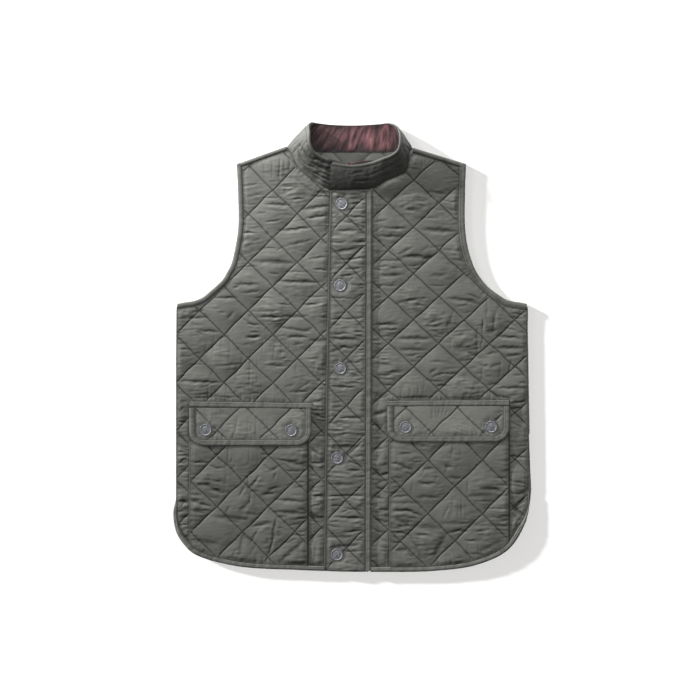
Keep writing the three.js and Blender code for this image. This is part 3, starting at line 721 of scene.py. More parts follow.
# Stitches on both sets of quilting lines inside a loop, but for where skip says so
def sewQuilting(parts, quilt, loop, topOf, inset=2.5, skip=None, lift=0.05, spread=1.0):
    one, two = stitchLines(quilt, loop[:, 0], loop[:, 1])
    spacing = quilt["across"] * quilt["along"] / math.hypot(quilt["across"], quilt["along"])
    pitch = spread * threadLook["pitch"] / spacing
    closed = np.vstack([loop, loop[:1]])
    for first, (fixed, free) in enumerate(((one, two), (two, one))):
        start, end = math.floor(free.min() / pitch), math.ceil(free.max() / pitch)
        run = (np.arange(start, end + 1) + 0.5) * pitch
        for line in range(math.ceil(fixed.min()), math.floor(fixed.max()) + 1):
            a, b = (line + 0 * run, run) if first == 0 else (run, line + 0 * run)
            x = quilt["x"] + quilt["across"] * (a + b) / 2
            y = quilt["y"] + quilt["along"] * (a - b) / 2
            aside, above = sway(x, y)
            x, y = x + aside, y + above
            keep = insideOf(x, y, loop)
            if skip is not None:
                keep &= ~skip(x, y)
            x, y = x[keep], y[keep]
            if len(x) == 0:
                continue
            keep = nearPath(x, y, closed)[0] > inset
            x, y = x[keep], y[keep]
            if len(x) == 0:
                continue
            turn = math.atan2(-quilt["along"] if first == 0 else quilt["along"], quilt["across"])
            heights = topOf(x, y)[0] + lift
            stitchParts(parts, np.column_stack([x, y]), heights, np.full(len(x), turn))


def addSewing(parts, name):
    if parts.count == 0:
        return []
    piece = parts.build(name + "_stitches", thread)
    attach(piece, rideOn)
    return [piece]


# Levels and sizes shared with the solids

wallBack = 4.5
baseFront, stitchFront = 4.8, 7.2
baseOnFront, stitchOnFront = 7.4, 9.8
baseFlap, stitchFlap = 10.0, 12.4
bindingWidth = {"armLeft": 7, "armRight": 9, "hem": 7, "flap": 8.2}
hemBindingTop, armBindingTop, shoulderTop, placketFoldTop = 11.0, 9.5, 9.4, 11.8
weltWidth, weltTop, flapBindingTop = 8.6, 13.4, 13.9
grooveSink = 0.5
farDown = -345
aboveFloor = 0.02
bindingStep = 1.8

quilting = {
    "frontLeft": {"x": -118.5, "y": 162.8, "across": 73.2, "along": 72.3},
    "frontRight": {"x": 54.8, "y": 144.9, "across": 75.9, "along": 69.9},
    "placket": {"x": -8, "y": 196, "across": 70, "along": 71},
    "pocketLeft": {"x": -202.5, "y": -162.8, "across": 78, "along": 76.5},
    "pocketRight": {"x": 114, "y": -169.5, "across": 81.8, "along": 81},
    "flapLeft": {"x": -201.8, "y": -124.5, "across": 78, "along": 76.5},
    "flapRight": {"x": 119.3, "y": -128.1, "across": 77, "along": 73},
    "back": {"x": 0, "y": 120, "across": 73, "along": 72},
}

# y, then x at the left armhole and at the right one
armholeTable = [
    (274.8, -173.3, 171.2), (229.5, -171.2, 169.6), (178, -171, 169.8), (148.5, -175.5, 174),
    (124, -181.5, 181.5), (112.5, -187.5, 187), (102, -193.5, 194), (91, -204.5, 203.5),
    (82, -215, 214.5), (76, -222, 223.5), (71.5, -230.5, 231), (68.6, -241, 241), (67.2, -251, 251),
    (64.9, -262.4, 262.4),
]
shoulders = {
    "left": {"tip": (-173.3, 274.8), "neck": (-99.8, 301), "foldWidth": 6.6},
    "right": {"tip": (171.2, 274.8), "neck": (93, 298.8), "foldWidth": 7.8},
}
sideLeft = np.array([(-262.4, 64.9), (-263.2, 61.5), (-263.6, 52), (-264, -20), (-264, -222)], float)
sideRight = np.array([
    (269.3, -222), (267, -140), (264, 30), (264.4, 52), (263.8, 60), (262.4, 64.9),
], float)
hemTable = [
    (-264, -222), (-269.3, -250), (-262.5, -283.5), (-237, -310.5), (-174, -328.5), (-78, -334.5),
    (40, -337.5), (120, -336), (186, -327), (234, -304.5), (260, -265.5), (269.3, -222),
]
neckTables = {
    "left": [(-90.6, 295), (-83, 278), (-75, 268.5), (-54, 254), (-31, 239), (-4.65, 237)],
    "right": [(88, 290), (83, 278), (79, 266), (68, 259.5), (51, 252.5), (29, 240), (-4.35, 237)],
    "back": [
        (-99.8, 301), (-89, 299.6), (-74, 296.5), (-48, 294), (0, 293.6), (48, 294), (72, 296.5),
        (93, 298.8),
    ],
}
# y, then x at the placket's left edge, its right edge and the folded strip's right edge
placketTable = [
    (233.4, -33, 21, 30), (60, -36.5, 20.6, 29.4), (-79.5, -39, 20.2, 28.8), (farDown, -42, 19.4, 27.8),
]
pockets = {
    "left": {"from": -244.5, "to": -65.2, "top": -91, "welt": [(-243.5, -81.8), (-60, -84.4)]},
    "right": {"from": 55.5, "to": 236.6, "top": -88.3, "welt": [(52, -81), (234.8, -80)]},
}
flaps = {
    "left": {"from": -243.5, "to": -60.8, "top": -91.3, "bottom": -148},
    "right": {"from": 53.2, "to": 235.8, "top": -88.6, "bottom": -142.5},
}
flapCorner = 22
snapRadius = 8.8
placketSnaps = {
    "snap_placket_1": (-15.6, 214.4),
    "snap_placket_2": (-17.7, 92.3),
    "snap_placket_3": (-17.4, -32.1),
    "snap_placket_4": (-22.2, -166.5),
    "snap_placket_5": (-22.5, -311.1),
}
flapSnaps = {
    "snap_flap_left_1": (-219, -124.1),
    "snap_flap_left_2": (-91.2, -125.1),
    "snap_flap_right_1": (80.1, -120),
    "snap_flap_right_2": (208.4, -119.6),
}

pathStep = 3.5
armhole = {
    "left": smoothPath([(left, y) for y, left, right in armholeTable], pathStep),
    "right": smoothPath([(right, y) for y, left, right in armholeTable], pathStep),
}
hem = smoothPath(hemTable, pathStep)
neck = {side: smoothPath(rows, pathStep) for side, rows in neckTables.items()}
shoulderFold = {
    "left": np.array([shoulders["left"]["neck"], shoulders["left"]["tip"]], float),
    "right": np.array([shoulders["right"]["tip"], shoulders["right"]["neck"]], float),
}
shoulderSeam = {
    side: offsetPath(shoulderFold[side], 1, shoulders[side]["foldWidth"] - 0.6)
    for side in ("left", "right")
}
placketEdges = {
    name: smoothPath([(row[k], row[0]) for row in placketTable], 8)
    for k, name in ((1, "left"), (2, "right"), (3, "fold"))
}
sideFront = {
    "left": np.array([(-262.3, 64.5), (-263.1, 61), (-263.5, 52), (-264, -20), (-264, -236)], float),
    "right": np.array([
        (265, -218), (264.8, -140), (262.6, 30), (263.9, 52), (263.4, 60), (262.3, 64.5),
    ], float),
}
hemFront = {
    "left": smoothPath([
        (-264, -236), (-264.4, -258), (-261.4, -279), (-253, -294.5), (-236.6, -310.4), (-174, -328.5),
        (-78, -334.5), (-41.7, -336),
    ], pathStep),
    "right": smoothPath([
        (28.1, -337.4), (120, -336), (186, -327), (233.8, -304.4), (258.8, -267), (265.8, -240),
        (265, -218),
    ], pathStep),
}
hemWhole = smoothPath([(-264, -190)] + hemTable + [(268.4, -180), (266.6, -132)], pathStep)
hemBack = offsetPath(hemWhole, 1, 0.6)
vestLoop = joinPaths(
    shoulderFold["left"], armhole["left"], sideLeft, hem, sideRight,
    armhole["right"][::-1], shoulderFold["right"], neck["back"][::-1],
)


# the strengths whose names end in Dark are of painted shade
quiltLook = {
    "pillow": 0.84, "uneven": 0.3, "seamSink": 8.0, "valley": 0.6, "valleyWidth": 1.0, "broad": 0.6,
    "fold": 1.5, "placed": 1.45, "needle": 0.6, "needlePitch": 4.2, "needleWidth": 2.6, "rays": 0.7,
    "lineDark": 0.95, "creaseDark": 0.72, "creaseDarkMost": 0.62, "seamDark": 0.92, "seamDarkWidth": 1.5,
    "needleDark": 0.25, "gatherDark": 0.35, "snapDark": 0.8, "coveredDark": 0.3,
}


# Quilted top of a panel: pillows between the stitch lines, sinking to each seam, with folds and puckers,
# and painted shade along them.
# A seam is a path, how far the cloth starts from it, and the share of its height that it keeps there.
def quiltedTop(quilt, stitch, height, seams, seed, rows=(), dips=(), covers=None, edges=(), folds=1.0,
               pucker=0.9, reach=9.0, ceiling=1.5, share=1.0):
    look = quiltLook
    spacing = quilt["across"] * quilt["along"] / math.hypot(quilt["across"], quilt["along"])

    def topOf(x, y):
        one, two = stitchLines(quilt, x, y)
        toOne = np.abs(one - np.round(one)) * spacing
        toTwo = np.abs(two - np.round(two)) * spacing
        full = np.abs(np.sin(np.pi * one) * np.sin(np.pi * two)) ** 0.8
        own = noise(np.floor(one) * 3.7 + 0.5, np.floor(two) * 2.9 + 0.5, seed) * look["uneven"]
        pillow = full * (look["pillow"] + own)
        strong = np.clip(0.5 + 1.0 * noise(x / 70, y / 60, seed + 1), 0.12, 1.3)
        drift = 6 * noise(x / 55, y / 55, seed + 2)
        long = noise((x + drift) / 30, (y + 0.06 * x + drift) / 7.0, seed + 3)
        fine = noise((x - drift) / 15, (y - 0.08 * x) / 3.8, seed + 4)
        crumple = noise(x / 8, y / 8, seed + 5)
        wrinkle = -np.clip(np.abs(long) - 0.22, 0, 1) + 0.4 * fine + 0.25 * crumple
        away = np.clip(full * 1.4, 0, 1)
        pitch, width = look["needlePitch"], look["needleWidth"]
        alongOne = noise(two * spacing / pitch, np.round(one) * 5.3 + 0.5, seed + 6)
        alongTwo = noise(one * spacing / pitch, np.round(two) * 7.1 + 0.5, seed + 7)
        needle = alongOne * np.exp(-toOne / width) + alongTwo * np.exp(-toTwo / width)
        needle = needle * np.clip(0.4 + noise(x / 30, y / 30, seed + 8), 0, 1)
        valley = np.exp(-(toOne / look["valleyWidth"]) ** 2) + np.exp(-(toTwo / look["valleyWidth"]) ** 2)
        z = height * pillow + folds * look["fold"] * strong * wrinkle * away + look["needle"] * needle
        z = z + look["broad"] * noise(x / 80, y / 42, seed + 9) * away
        z = z - look["valley"] * np.clip(valley, 0, 1)
        placed, dark = creaseDepth(x, y, rows)
        z = z - placed * look["placed"] * share * (0.45 + 0.55 * away)
        # painted shade in the stitched valleys, the listed creases, the wrinkle troughs and the needle
        # puckers
        deep = np.clip(valley, 0, 1) * look["lineDark"]
        deep += np.clip(dark * look["creaseDark"] * share, 0, look["creaseDarkMost"])
        deep += np.clip(-wrinkle * strong - 0.2, 0, 1) * 0.3 * folds
        deep += np.clip(-needle, 0, 1) * look["needleDark"]
        for path, inset, keep in seams:
            distance, along = nearPath(x, y, path)
            distance = np.clip(distance - (inset(along) if callable(inset) else inset), 0, None)
            sink = keep + (1 - keep) * smoothStep(distance, 0, look["seamSink"])
            wave = noise(along / 5.2, distance / 26, seed + 11)
            wave = wave + 0.5 * noise(along / 2.9, distance / 14, seed + 12)
            gather = np.exp(-distance / reach) * smoothStep(distance, 0, 2.0)
            lively = 0.45 + 0.55 * np.clip(noise(along / 40, distance * 0 + 0.5, seed + 13) + 0.5, 0, 1.4)
            z = z * sink + pucker * wave * gather * lively
            # painted shade in the sunken seam and in the dips of its gathers
            deep = np.maximum(deep, np.exp(-distance / look["seamDarkWidth"]) * look["seamDark"])
            deep += np.clip(-wave, 0, 1) * gather * lively * look["gatherDark"]
        for cx, cy, radius in dips:
            away = np.hypot(x - cx, y - cy) - radius
            turn = np.arctan2(y - cy, x - cx)
            rays = noise(turn * 2.4 + 9, away * 0 + 1.5, seed + 21)
            rays = rays * np.exp(-np.abs(away) / 8) * smoothStep(away, 0.3, 3)
            z = z * smoothStep(away, 0.0, 9.0) + look["rays"] * rays
            # painted shadow in a ring round each snap
            deep = deep * smoothStep(away, -1, 4) + np.exp(-np.abs(away)) * look["snapDark"]
        for path, depth, width in edges:
            distance, _ = nearPath(x, y, path)
            z = z - depth * (1 - np.clip(distance / width, 0, 1)) ** 2
        z = np.clip(z, -0.6 - sum(edge[1] for edge in edges), height + ceiling)
        if covers is not None:
            hidden = covers(x, y) > 0
            z = np.where(hidden, -0.1, z)
            # painted shade where another piece covers the cloth
            deep = np.where(hidden, look["coveredDark"], deep)
        return stitch + z, np.clip(deep, 0, 1)

    return topOf


def flatAt(level):
    return lambda x, y: np.full(x.shape, level)


# Whether a place is under one of the snaps, which stand on the cloth without stitches below them
def underSnaps(places):
    def under(x, y):
        return np.min([np.hypot(x - cx, y - cy) - radius for cx, cy, radius in places], axis=0) < 1

    return under


# Attaches a flat panel to the body and hides its solid; the area of its outline is worked out but not used
def cloth(piece, loop, node, sewing=()):
    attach(piece, rideOn)
    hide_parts(node)
    sheetArea(loop)


# Attaches a binding to the body and hides its solid
def declareBinding(piece, node, length, sewing=()):
    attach(piece, rideOn)
    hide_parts(node)


# Fronts

frontLook = {
    "steps": 42, "height": 2.9, "rise": 3.0, "riseWidth": 36, "hemOverlap": 0.82,
    "seed": {"left": 11, "right": 47},
}
frontCreases = {
    "left": [
        (-109, 266, 30, 1.4, 90, 0.8), (-120, 268, 27, 1.3, 90, 0.4), (-132, 266, 24, 1.3, 88, 0.35),
        (-101, 272, 21, 1.3, 88, 0.5), (-94, 273, 21, 1.8, 95, 0.8), (-154, 244, 21, 1.4, 8, 0.6, -1.5),
        (-146, 226, 24, 1.4, 8, 0.5, 1.5), (-120, 224, 24, 1.3, 0, 0.6), (-88, 240, 24, 1.8, 0, 0.7),
        (-100, 236, 8, 1.4, 60, 0.5), (-72, 242, 30, 2.2, -40, 0.5), (-78, 223, 18, 1.1, 6, 0.5),
        (-40, 232, 24, 2.2, 0, 0.9), (-44, 226, 24, 1.8, -2, 0.8), (-110, 213, 33, 2, -3, 1, 0.8),
        (-135, 201, 12, 1.1, 0, 0.6), (-117, 189, 21, 1.4, 12, 0.7), (-86, 178, 45, 2.2, 6, 1, -1.5),
        (-51, 210, 42, 2.7, 8, 1), (-51, 195, 36, 1.8, 5, 0.8), (-75, 190, 14, 1.1, 3, 0.5),
        (-152, 181, 24, 1.2, 3, 0.6, -2.2), (-156, 172, 16, 1.4, 0, 0.9), (-153, 214, 18, 1.1, 3, 0.5),
        (-81, 156, 39, 1.8, 14, 0.5), (-126, 148, 21, 1.6, 0, 0.6), (-108, 147, 12, 1.4, 30, 0.6),
        (-118, 128, 54, 4, -3, 0.9), (-153, 121, 21, 1.4, 0, 0.6), (-117, 110, 14, 1.1, 0, 0.6),
        (-82, 113, 30, 1.4, 0, 0.7), (-78, 98, 57, 2.9, -1, 1.1), (-51, 134, 21, 2.3, 5, 0.7),
        (-46, 116, 20, 1.4, -4, 0.9), (-158, 94, 33, 2.7, -2, 0.8), (-153, 82, 24, 1.4, 6, 0.6),
        (-174, 90, 9, 1.4, 20, 0.8), (-183, 75, 14, 1.4, 0, 0.6), (-81, 87, 12, 0.9, 0, 0.4),
        (-57, 75, 24, 1.4, 0, 0.7), (-81, 222, 27, 1.1, 3, 0.5), (-232, 54, 18, 1.8, 10, 0.8),
        (-230, 44, 24, 2.3, 4, 0.9), (-214, 24, 27, 2, -4, 0.9), (-228, 21, 12, 1.4, -20, 0.5),
        (-190, 74, 30, 2.2, -2, 0.9), (-196, 52, 12, 1.4, 0, 0.5), (-182, 48, 12, 2.7, 45, 0.6),
        (-156, 38, 27, 1.8, -32, 0.6), (-147, 34, 18, 1.8, -8, 0.8), (-153, 46, 6, 2.7, 0, 0.4),
        (-148, 15, 20, 2, 5, 1), (-147, 22, 12, 1.4, 0, 0.5), (-159, 4, 21, 1.1, 2, 0.4),
        (-208, 3, 36, 1.4, 85, 0.35), (-196, 8, 39, 1.4, 88, 0.3), (-184, -4, 33, 1.6, 88, 0.35),
        (-220, -4, 21, 1.3, 80, 0.25), (-180, -26, 24, 1.6, 3, 0.5), (-192, 15, 15, 1.3, 12, 0.4),
        (-254, 5, 18, 1.1, 0, 0.6), (-249, -4, 18, 1.3, -2, 0.8), (-260, 20, 8, 1.1, 0, 0.7),
        (-250, -14, 18, 1.3, 8, 0.6), (-234, -10, 12, 1.3, 10, 0.4), (-234, -26, 21, 1.1, 2, 0.5),
        (-210, -38, 10, 1.8, 70, 0.5), (-228, -52, 54, 2.3, -2, 1), (-218, -58, 18, 1.4, 20, 0.6),
        (-153, -27, 39, 1.4, 88, 0.35), (-154, -50, 24, 1.8, 88, 0.4), (-174, -38, 24, 1.4, 85, 0.35),
        (-142, -32, 36, 1.3, 90, 0.3), (-165, -20, 27, 1.3, 88, 0.3), (-216, -68, 18, 1.8, 88, 0.4),
        (-189, -62, 21, 1.4, 88, 0.4), (-201, -75, 60, 2.7, 0, 0.6), (-146, -70, 15, 1.4, 0, 0.5),
        (-135, 74, 30, 1.3, 0, 0.5), (-102, 64, 21, 1.4, -4, 0.7), (-126, 54, 42, 1.6, 0, 0.6),
        (-123, 45, 33, 1.8, 0, 1.1), (-120, 38, 15, 1.3, 0, 0.4), (-84, 46, 33, 2.2, 0, 0.8),
        (-64, 64, 20, 1.8, 0, 0.8), (-42, 45, 18, 1.4, -4, 0.7), (-93, 28, 39, 2.2, -8, 0.6),
        (-74, 24, 24, 1.8, -6, 0.5), (-82, 14, 27, 2.3, 0, 0.9, 1.5), (-81, 4, 15, 1.3, 5, 0.5),
        (-64, 27, 12, 2.7, 30, 0.6), (-46, 10, 30, 3.1, 0, 0.9), (-62, -4, 9, 5.4, 90, 0.3),
        (-51, -16, 15, 1.4, 10, 0.4), (-117, -4, 30, 1.6, 85, 0.3), (-106, -2, 27, 1.6, 88, 0.35),
        (-94, 0, 15, 1.4, 80, 0.3), (-134, 3, 24, 1.4, 88, 0.3), (-100, -21, 18, 1.3, -5, 0.5),
        (-116, -28, 24, 1.4, -3, 0.5), (-57, -34, 18, 1.8, 80, 0.4), (-84, -32, 12, 1.8, 70, 0.3),
        (-84, -46, 12, 1.3, 5, 0.4), (-93, -58, 15, 1.6, 20, 0.4), (-80, -67, 24, 1.6, 3, 0.7),
        (-72, -58, 21, 1.6, 30, 0.5), (-254, -82, 12, 1.8, 0, 0.8), (-255, -93, 15, 1.3, 50, 0.5),
        (-252, -113, 14, 1.6, -5, 0.9), (-260, -118, 10, 1.1, 0, 0.5), (-255, -134, 18, 1.8, -52, 1),
        (-256, -149, 18, 1.4, -12, 0.6), (-249, -154, 12, 1.6, -20, 0.8), (-256, -158, 15, 1.3, 0, 0.4),
        (-255, -171, 21, 1.3, 35, 0.5), (-260, -179, 12, 1.1, 0, 0.5), (-252, -186, 21, 1.4, -8, 0.6),
        (-249, -195, 14, 1.3, 0, 0.6), (-260, -206, 12, 1.6, -20, 0.7), (-254, -212, 15, 1.3, -5, 0.4),
        (-252, -232, 18, 2, -5, 1), (-256, -238, 14, 1.6, 50, 0.7), (-258, -247, 12, 1.3, -20, 0.4),
        (-254, -255, 18, 1.4, -5, 0.7), (-252, -266, 15, 1.6, 0, 0.7), (-256, -276, 15, 1.8, 15, 0.6),
        (-252, -285, 14, 1.4, 20, 0.6), (-54, -82, 18, 1.4, 10, 0.5), (-50, -95, 21, 1.8, 0, 0.8),
        (-56, -101, 12, 2.2, -20, 0.7), (-45, -106, 14, 1.4, -20, 0.6), (-44, -133, 14, 1.8, 5, 0.7),
        (-46, -142, 12, 1.3, 0, 0.4), (-44, -154, 14, 1.8, 0, 0.6), (-58, -154, 15, 1.8, -25, 0.5),
        (-52, -159, 21, 1.4, -28, 0.6), (-50, -174, 21, 2, 3, 1), (-45, -181, 14, 1.3, 0, 0.6),
        (-57, -193, 15, 1.6, -12, 0.6), (-48, -224, 18, 2.2, 0, 1), (-56, -238, 21, 1.8, 12, 0.6),
        (-62, -250, 14, 2.7, -20, 0.9), (-50, -256, 21, 3.1, -3, 1.1), (-54, -262, 18, 1.4, -15, 0.5),
        (-45, -285, 14, 1.8, 0, 0.8), (-56, -308, 24, 1.8, 85, 0.4), (-54, -328, 24, 2.3, 0, 0.8),
        (-62, -308, 9, 1.3, 0, 0.5),
    ],
    "right": [
        (92, 206, 21, 1.6, -4, 0.6), (120, 194, 21, 1.3, -4, 0.4), (129, 231, 21, 1.4, -8, 0.4),
        (64, 178, 30, 1.8, 0, 0.7), (42, 189, 21, 1.3, 4, 0.5), (57, 166, 30, 2.3, -3, 0.8),
        (132, 175, 45, 3.6, -3, 0.9), (144, 202, 15, 1.4, -30, 0.4), (148, 218, 24, 1.4, -12, 0.5),
        (147, 207, 18, 1.4, -20, 0.4), (105, 274, 15, 1.3, 85, 0.5), (111, 279, 15, 1.1, 80, 0.5),
        (117, 280, 12, 1.1, 80, 0.4), (39, 176, 15, 1.4, 30, 0.6), (80, 144, 21, 1.8, 25, 0.6),
        (92, 134, 30, 3.1, 0, 1, 2.2), (114, 134, 14, 2.9, 15, 0.9), (92, 122, 18, 1.4, 0, 0.6),
        (96, 117, 12, 1.3, 0, 0.5), (57, 130, 30, 1.8, 0, 0.7), (54, 120, 42, 1.1, -2, 0.5),
        (58, 108, 33, 2.7, 0, 0.8), (50, 92, 27, 1.4, 0, 0.6, 0.8), (39, 88, 15, 1.4, 30, 0.5),
        (60, 146, 12, 1.4, -50, 0.4), (36, 81, 12, 1.3, 0, 0.7), (38, 74, 14, 1.1, 0, 0.6),
        (36, 66, 12, 1.1, 0, 0.5), (36, 98, 15, 1.3, 8, 0.5), (88, 69, 39, 2, 12, 0.7, 1.5),
        (132, 108, 27, 2.7, 4, 0.5), (128, 92, 21, 1.4, 2, 0.5), (110, 148, 15, 2.2, 40, 0.35),
        (124, 150, 21, 1.8, 10, 0.4), (165, 71, 39, 2.7, -5, 0.8), (183, 66, 18, 1.6, -15, 0.7),
        (183, 76, 18, 1.8, -20, 0.7), (147, 146, 24, 1.8, 0, 0.35), (166, 62, 18, 1.4, 12, 0.5),
        (172, 52, 15, 1.3, 10, 0.4), (123, 38, 21, 2.3, 20, 0.7), (150, 46, 21, 1.6, 80, 0.4),
        (144, 34, 15, 1.8, 80, 0.4), (50, 34, 33, 2.2, 0, 1), (58, 26, 18, 1.4, 0, 0.6),
        (36, 28, 12, 1.4, 40, 0.5), (51, 16, 21, 1.3, 0, 0.5), (94, 13, 45, 3.2, 0, 0.9),
        (99, 5, 9, 1.8, 0, 0.5), (92, 22, 15, 1.1, 0, 0.4), (90, -4, 39, 2.3, 0, 0.6),
        (92, -12, 21, 1.8, 10, 0.5), (102, -16, 9, 1.3, 10, 0.5), (93, -22, 9, 1.1, 0, 0.6),
        (54, -4, 21, 1.3, 0, 0.35), (48, -26, 24, 2.7, -8, 0.5), (68, -36, 18, 2.7, 5, 0.35),
        (48, -42, 18, 1.6, 3, 0.7), (51, -48, 21, 1.3, 3, 0.4), (54, -57, 21, 1.3, -6, 0.7),
        (122, -36, 12, 2.7, 35, 0.7), (128, -42, 18, 1.8, 15, 0.6), (129, -22, 21, 1.8, 0, 0.5),
        (124, -51, 24, 1.8, -2, 0.6), (136, -58, 15, 1.8, 0, 0.8), (126, 16, 12, 1.3, 0, 0.5),
        (128, 22, 18, 2.7, -20, 0.5), (94, -76, 51, 2.7, 0, 0.7), (99, -64, 15, 1.3, 88, 0.4),
        (87, -68, 12, 1.3, 85, 0.4), (108, -57, 24, 1.3, 88, 0.3), (36, 4, 12, 1.1, 0, 0.6),
        (36, -2, 12, 1.1, -5, 0.5), (33, -9, 9, 1.1, 0, 0.5), (34, 18, 9, 1.1, 0, 0.5),
        (50, -74, 15, 1.4, 20, 0.5), (36, -75, 12, 1.4, 70, 0.5), (196, 32, 21, 1.4, 83, 0.9),
        (213, 38, 27, 2.2, 80, 0.7), (210, 24, 12, 3.6, 20, 0.8), (202, 58, 33, 2.7, 88, 0.4),
        (195, 8, 21, 1.4, 80, 0.6), (188, 9, 30, 2.7, 90, 0.6), (170, -2, 33, 5.4, -3, 0.6),
        (183, -12, 18, 2.2, -25, 0.6), (168, -20, 21, 1.4, 0, 0.5), (148, 3, 24, 1.4, 88, 0.3),
        (146, -40, 21, 1.4, -2, 0.6), (234, 15, 33, 2.3, -5, 0.9), (236, -1, 36, 3.1, 0, 1),
        (237, 27, 21, 1.3, -15, 0.5), (242, -13, 21, 1.8, 6, 0.8), (244, 44, 21, 1.4, -8, 0.6),
        (249, 50, 15, 1.3, -5, 0.5), (240, 34, 21, 1.3, -30, 0.5), (256, 22, 12, 1.3, 0, 0.4),
        (210, -9, 18, 1.8, 8, 0.6), (201, -28, 8, 2.3, 20, 0.5), (216, -27, 15, 2.3, 15, 0.5),
        (195, -38, 24, 1.8, 88, 0.4), (222, -32, 27, 2.2, 88, 0.35), (237, -30, 18, 1.8, 80, 0.8),
        (249, -32, 15, 1.4, -35, 0.6), (248, -42, 15, 1.3, 0, 0.5), (240, -61, 36, 2.5, 0, 0.9),
        (255, -54, 12, 1.3, 0, 0.5), (249, -66, 15, 1.4, 10, 0.5), (213, -70, 18, 1.8, -30, 0.7),
        (228, -75, 21, 2.2, -10, 0.8), (242, -72, 15, 1.8, 10, 0.5), (212, -56, 18, 1.8, 5, 0.6),
        (170, -78, 75, 2.2, 0, 0.6), (250, -83, 30, 1.8, 8, 0.9), (244, -92, 21, 1.4, -3, 0.7),
        (248, -117, 18, 1.3, -30, 0.6), (255, -148, 15, 1.1, 0, 0.4), (246, -164, 21, 1.8, -5, 0.8),
        (260, -166, 14, 1.6, -8, 0.6), (252, -203, 18, 1.8, -4, 0.7), (242, -201, 12, 1.3, -8, 0.5),
        (246, -208, 21, 1.4, -5, 0.6), (246, -220, 24, 1.4, 3, 0.6), (254, -230, 27, 1.6, 38, 0.9),
        (252, -236, 24, 1.6, 35, 0.9), (244, -244, 20, 1.8, -42, 0.9), (249, -243, 15, 1.4, 30, 0.7),
        (258, -248, 15, 1.6, 60, 0.7), (250, -260, 18, 1.8, 50, 0.6), (243, -276, 18, 2.2, 55, 0.5),
        (42, -99, 21, 3.1, 15, 1.1), (33, -117, 14, 1.4, -10, 0.6), (42, -122, 14, 1.8, 50, 0.7),
        (36, -130, 18, 1.3, 0, 0.4), (36, -137, 18, 1.3, 0, 0.4), (38, -152, 15, 1.4, 0, 0.5),
        (50, -177, 14, 1.8, 0, 0.6), (32, -190, 14, 2.2, 0, 0.9), (50, -191, 14, 1.8, 8, 0.6),
        (45, -202, 12, 1.6, 20, 0.6), (44, -214, 24, 1.6, -28, 0.7), (39, -226, 18, 2, -3, 0.9),
        (32, -236, 10, 1.3, 0, 0.7), (33, -241, 10, 1.3, 30, 0.7), (48, -244, 18, 2, 0, 1),
        (44, -261, 24, 2, -10, 0.6), (34, -274, 14, 2.2, -25, 0.8), (45, -278, 12, 1.4, 0, 0.6),
        (48, -290, 12, 1.8, -30, 0.6), (50, -301, 12, 1.4, 0, 0.7), (50, -306, 12, 1.3, 0, 0.6),
        (42, -328, 21, 1.8, 0, 0.6),
    ],
}


frontsMeet = {"left": -4.65, "right": -4.35}
frontFoot = -336.7
# How a hem binding narrows to its ends: its least share of the width, and between which distances it grows
hemTaper = {"front": (0.16, 14, 66), "back": (0.2, 0, 30)}


def frontLoop(side):
    centre = frontsMeet[side]
    tip = min(shoulderSeam[side][0][1], shoulderSeam[side][1][1])
    arm = armhole[side][armhole[side][:, 1] < tip - 1]
    edge, lower = sideFront[side], hemFront[side]
    if side == "left":
        return joinPaths(shoulderSeam["left"], arm, edge, lower, [(centre, frontFoot)], neck["left"][::-1])
    return joinPaths(neck["right"][-1:], [(centre, frontFoot)], lower, edge, arm[::-1],
                     shoulderSeam["right"], neck["right"])


# Width of a front's hem binding along its path: the upper end, at the side seam, runs out to nothing
def hemWidth(side, along):
    length = pathLength(hemFront[side])
    toEnd = along if side == "left" else length - along
    least, start, end = hemTaper["front"]
    return bindingWidth["hem"] * (least + (1 - least) * smoothStep(toEnd, start, end))


# Width of the back's hem binding, narrow at both ends
def taperedEnds(path):
    along = alongPath(path)
    toEnd = np.minimum(along, along[-1] - along)
    least, start, end = hemTaper["back"]
    return bindingWidth["hem"] * (least + (1 - least) * smoothStep(toEnd, start, end))


def hemWidths(side, path):
    return hemWidth(side, alongPath(path))


# Trims a closed loop to one side of a path moved sideways, by pushing its points over
def pushInside(loop, path, side, distance, limit):
    moved = loop.copy()
    across = acrossPath(path) * side
    distances = distance if np.ndim(distance) else np.full(len(path), float(distance))
    for k, (x, y) in enumerate(loop):
        gaps = np.hypot(path[:, 0] - x, path[:, 1] - y)
        at = int(gaps.argmin())
        depth = (x - path[at, 0]) * across[at, 0] + (y - path[at, 1]) * across[at, 1]
        beyond = at in (0, len(path) - 1) and gaps[at] > 1.8
        if gaps[at] < limit and depth < distances[at] and not beyond:
            moved[k] = (x, y) + across[at] * (distances[at] - depth)
    return moved


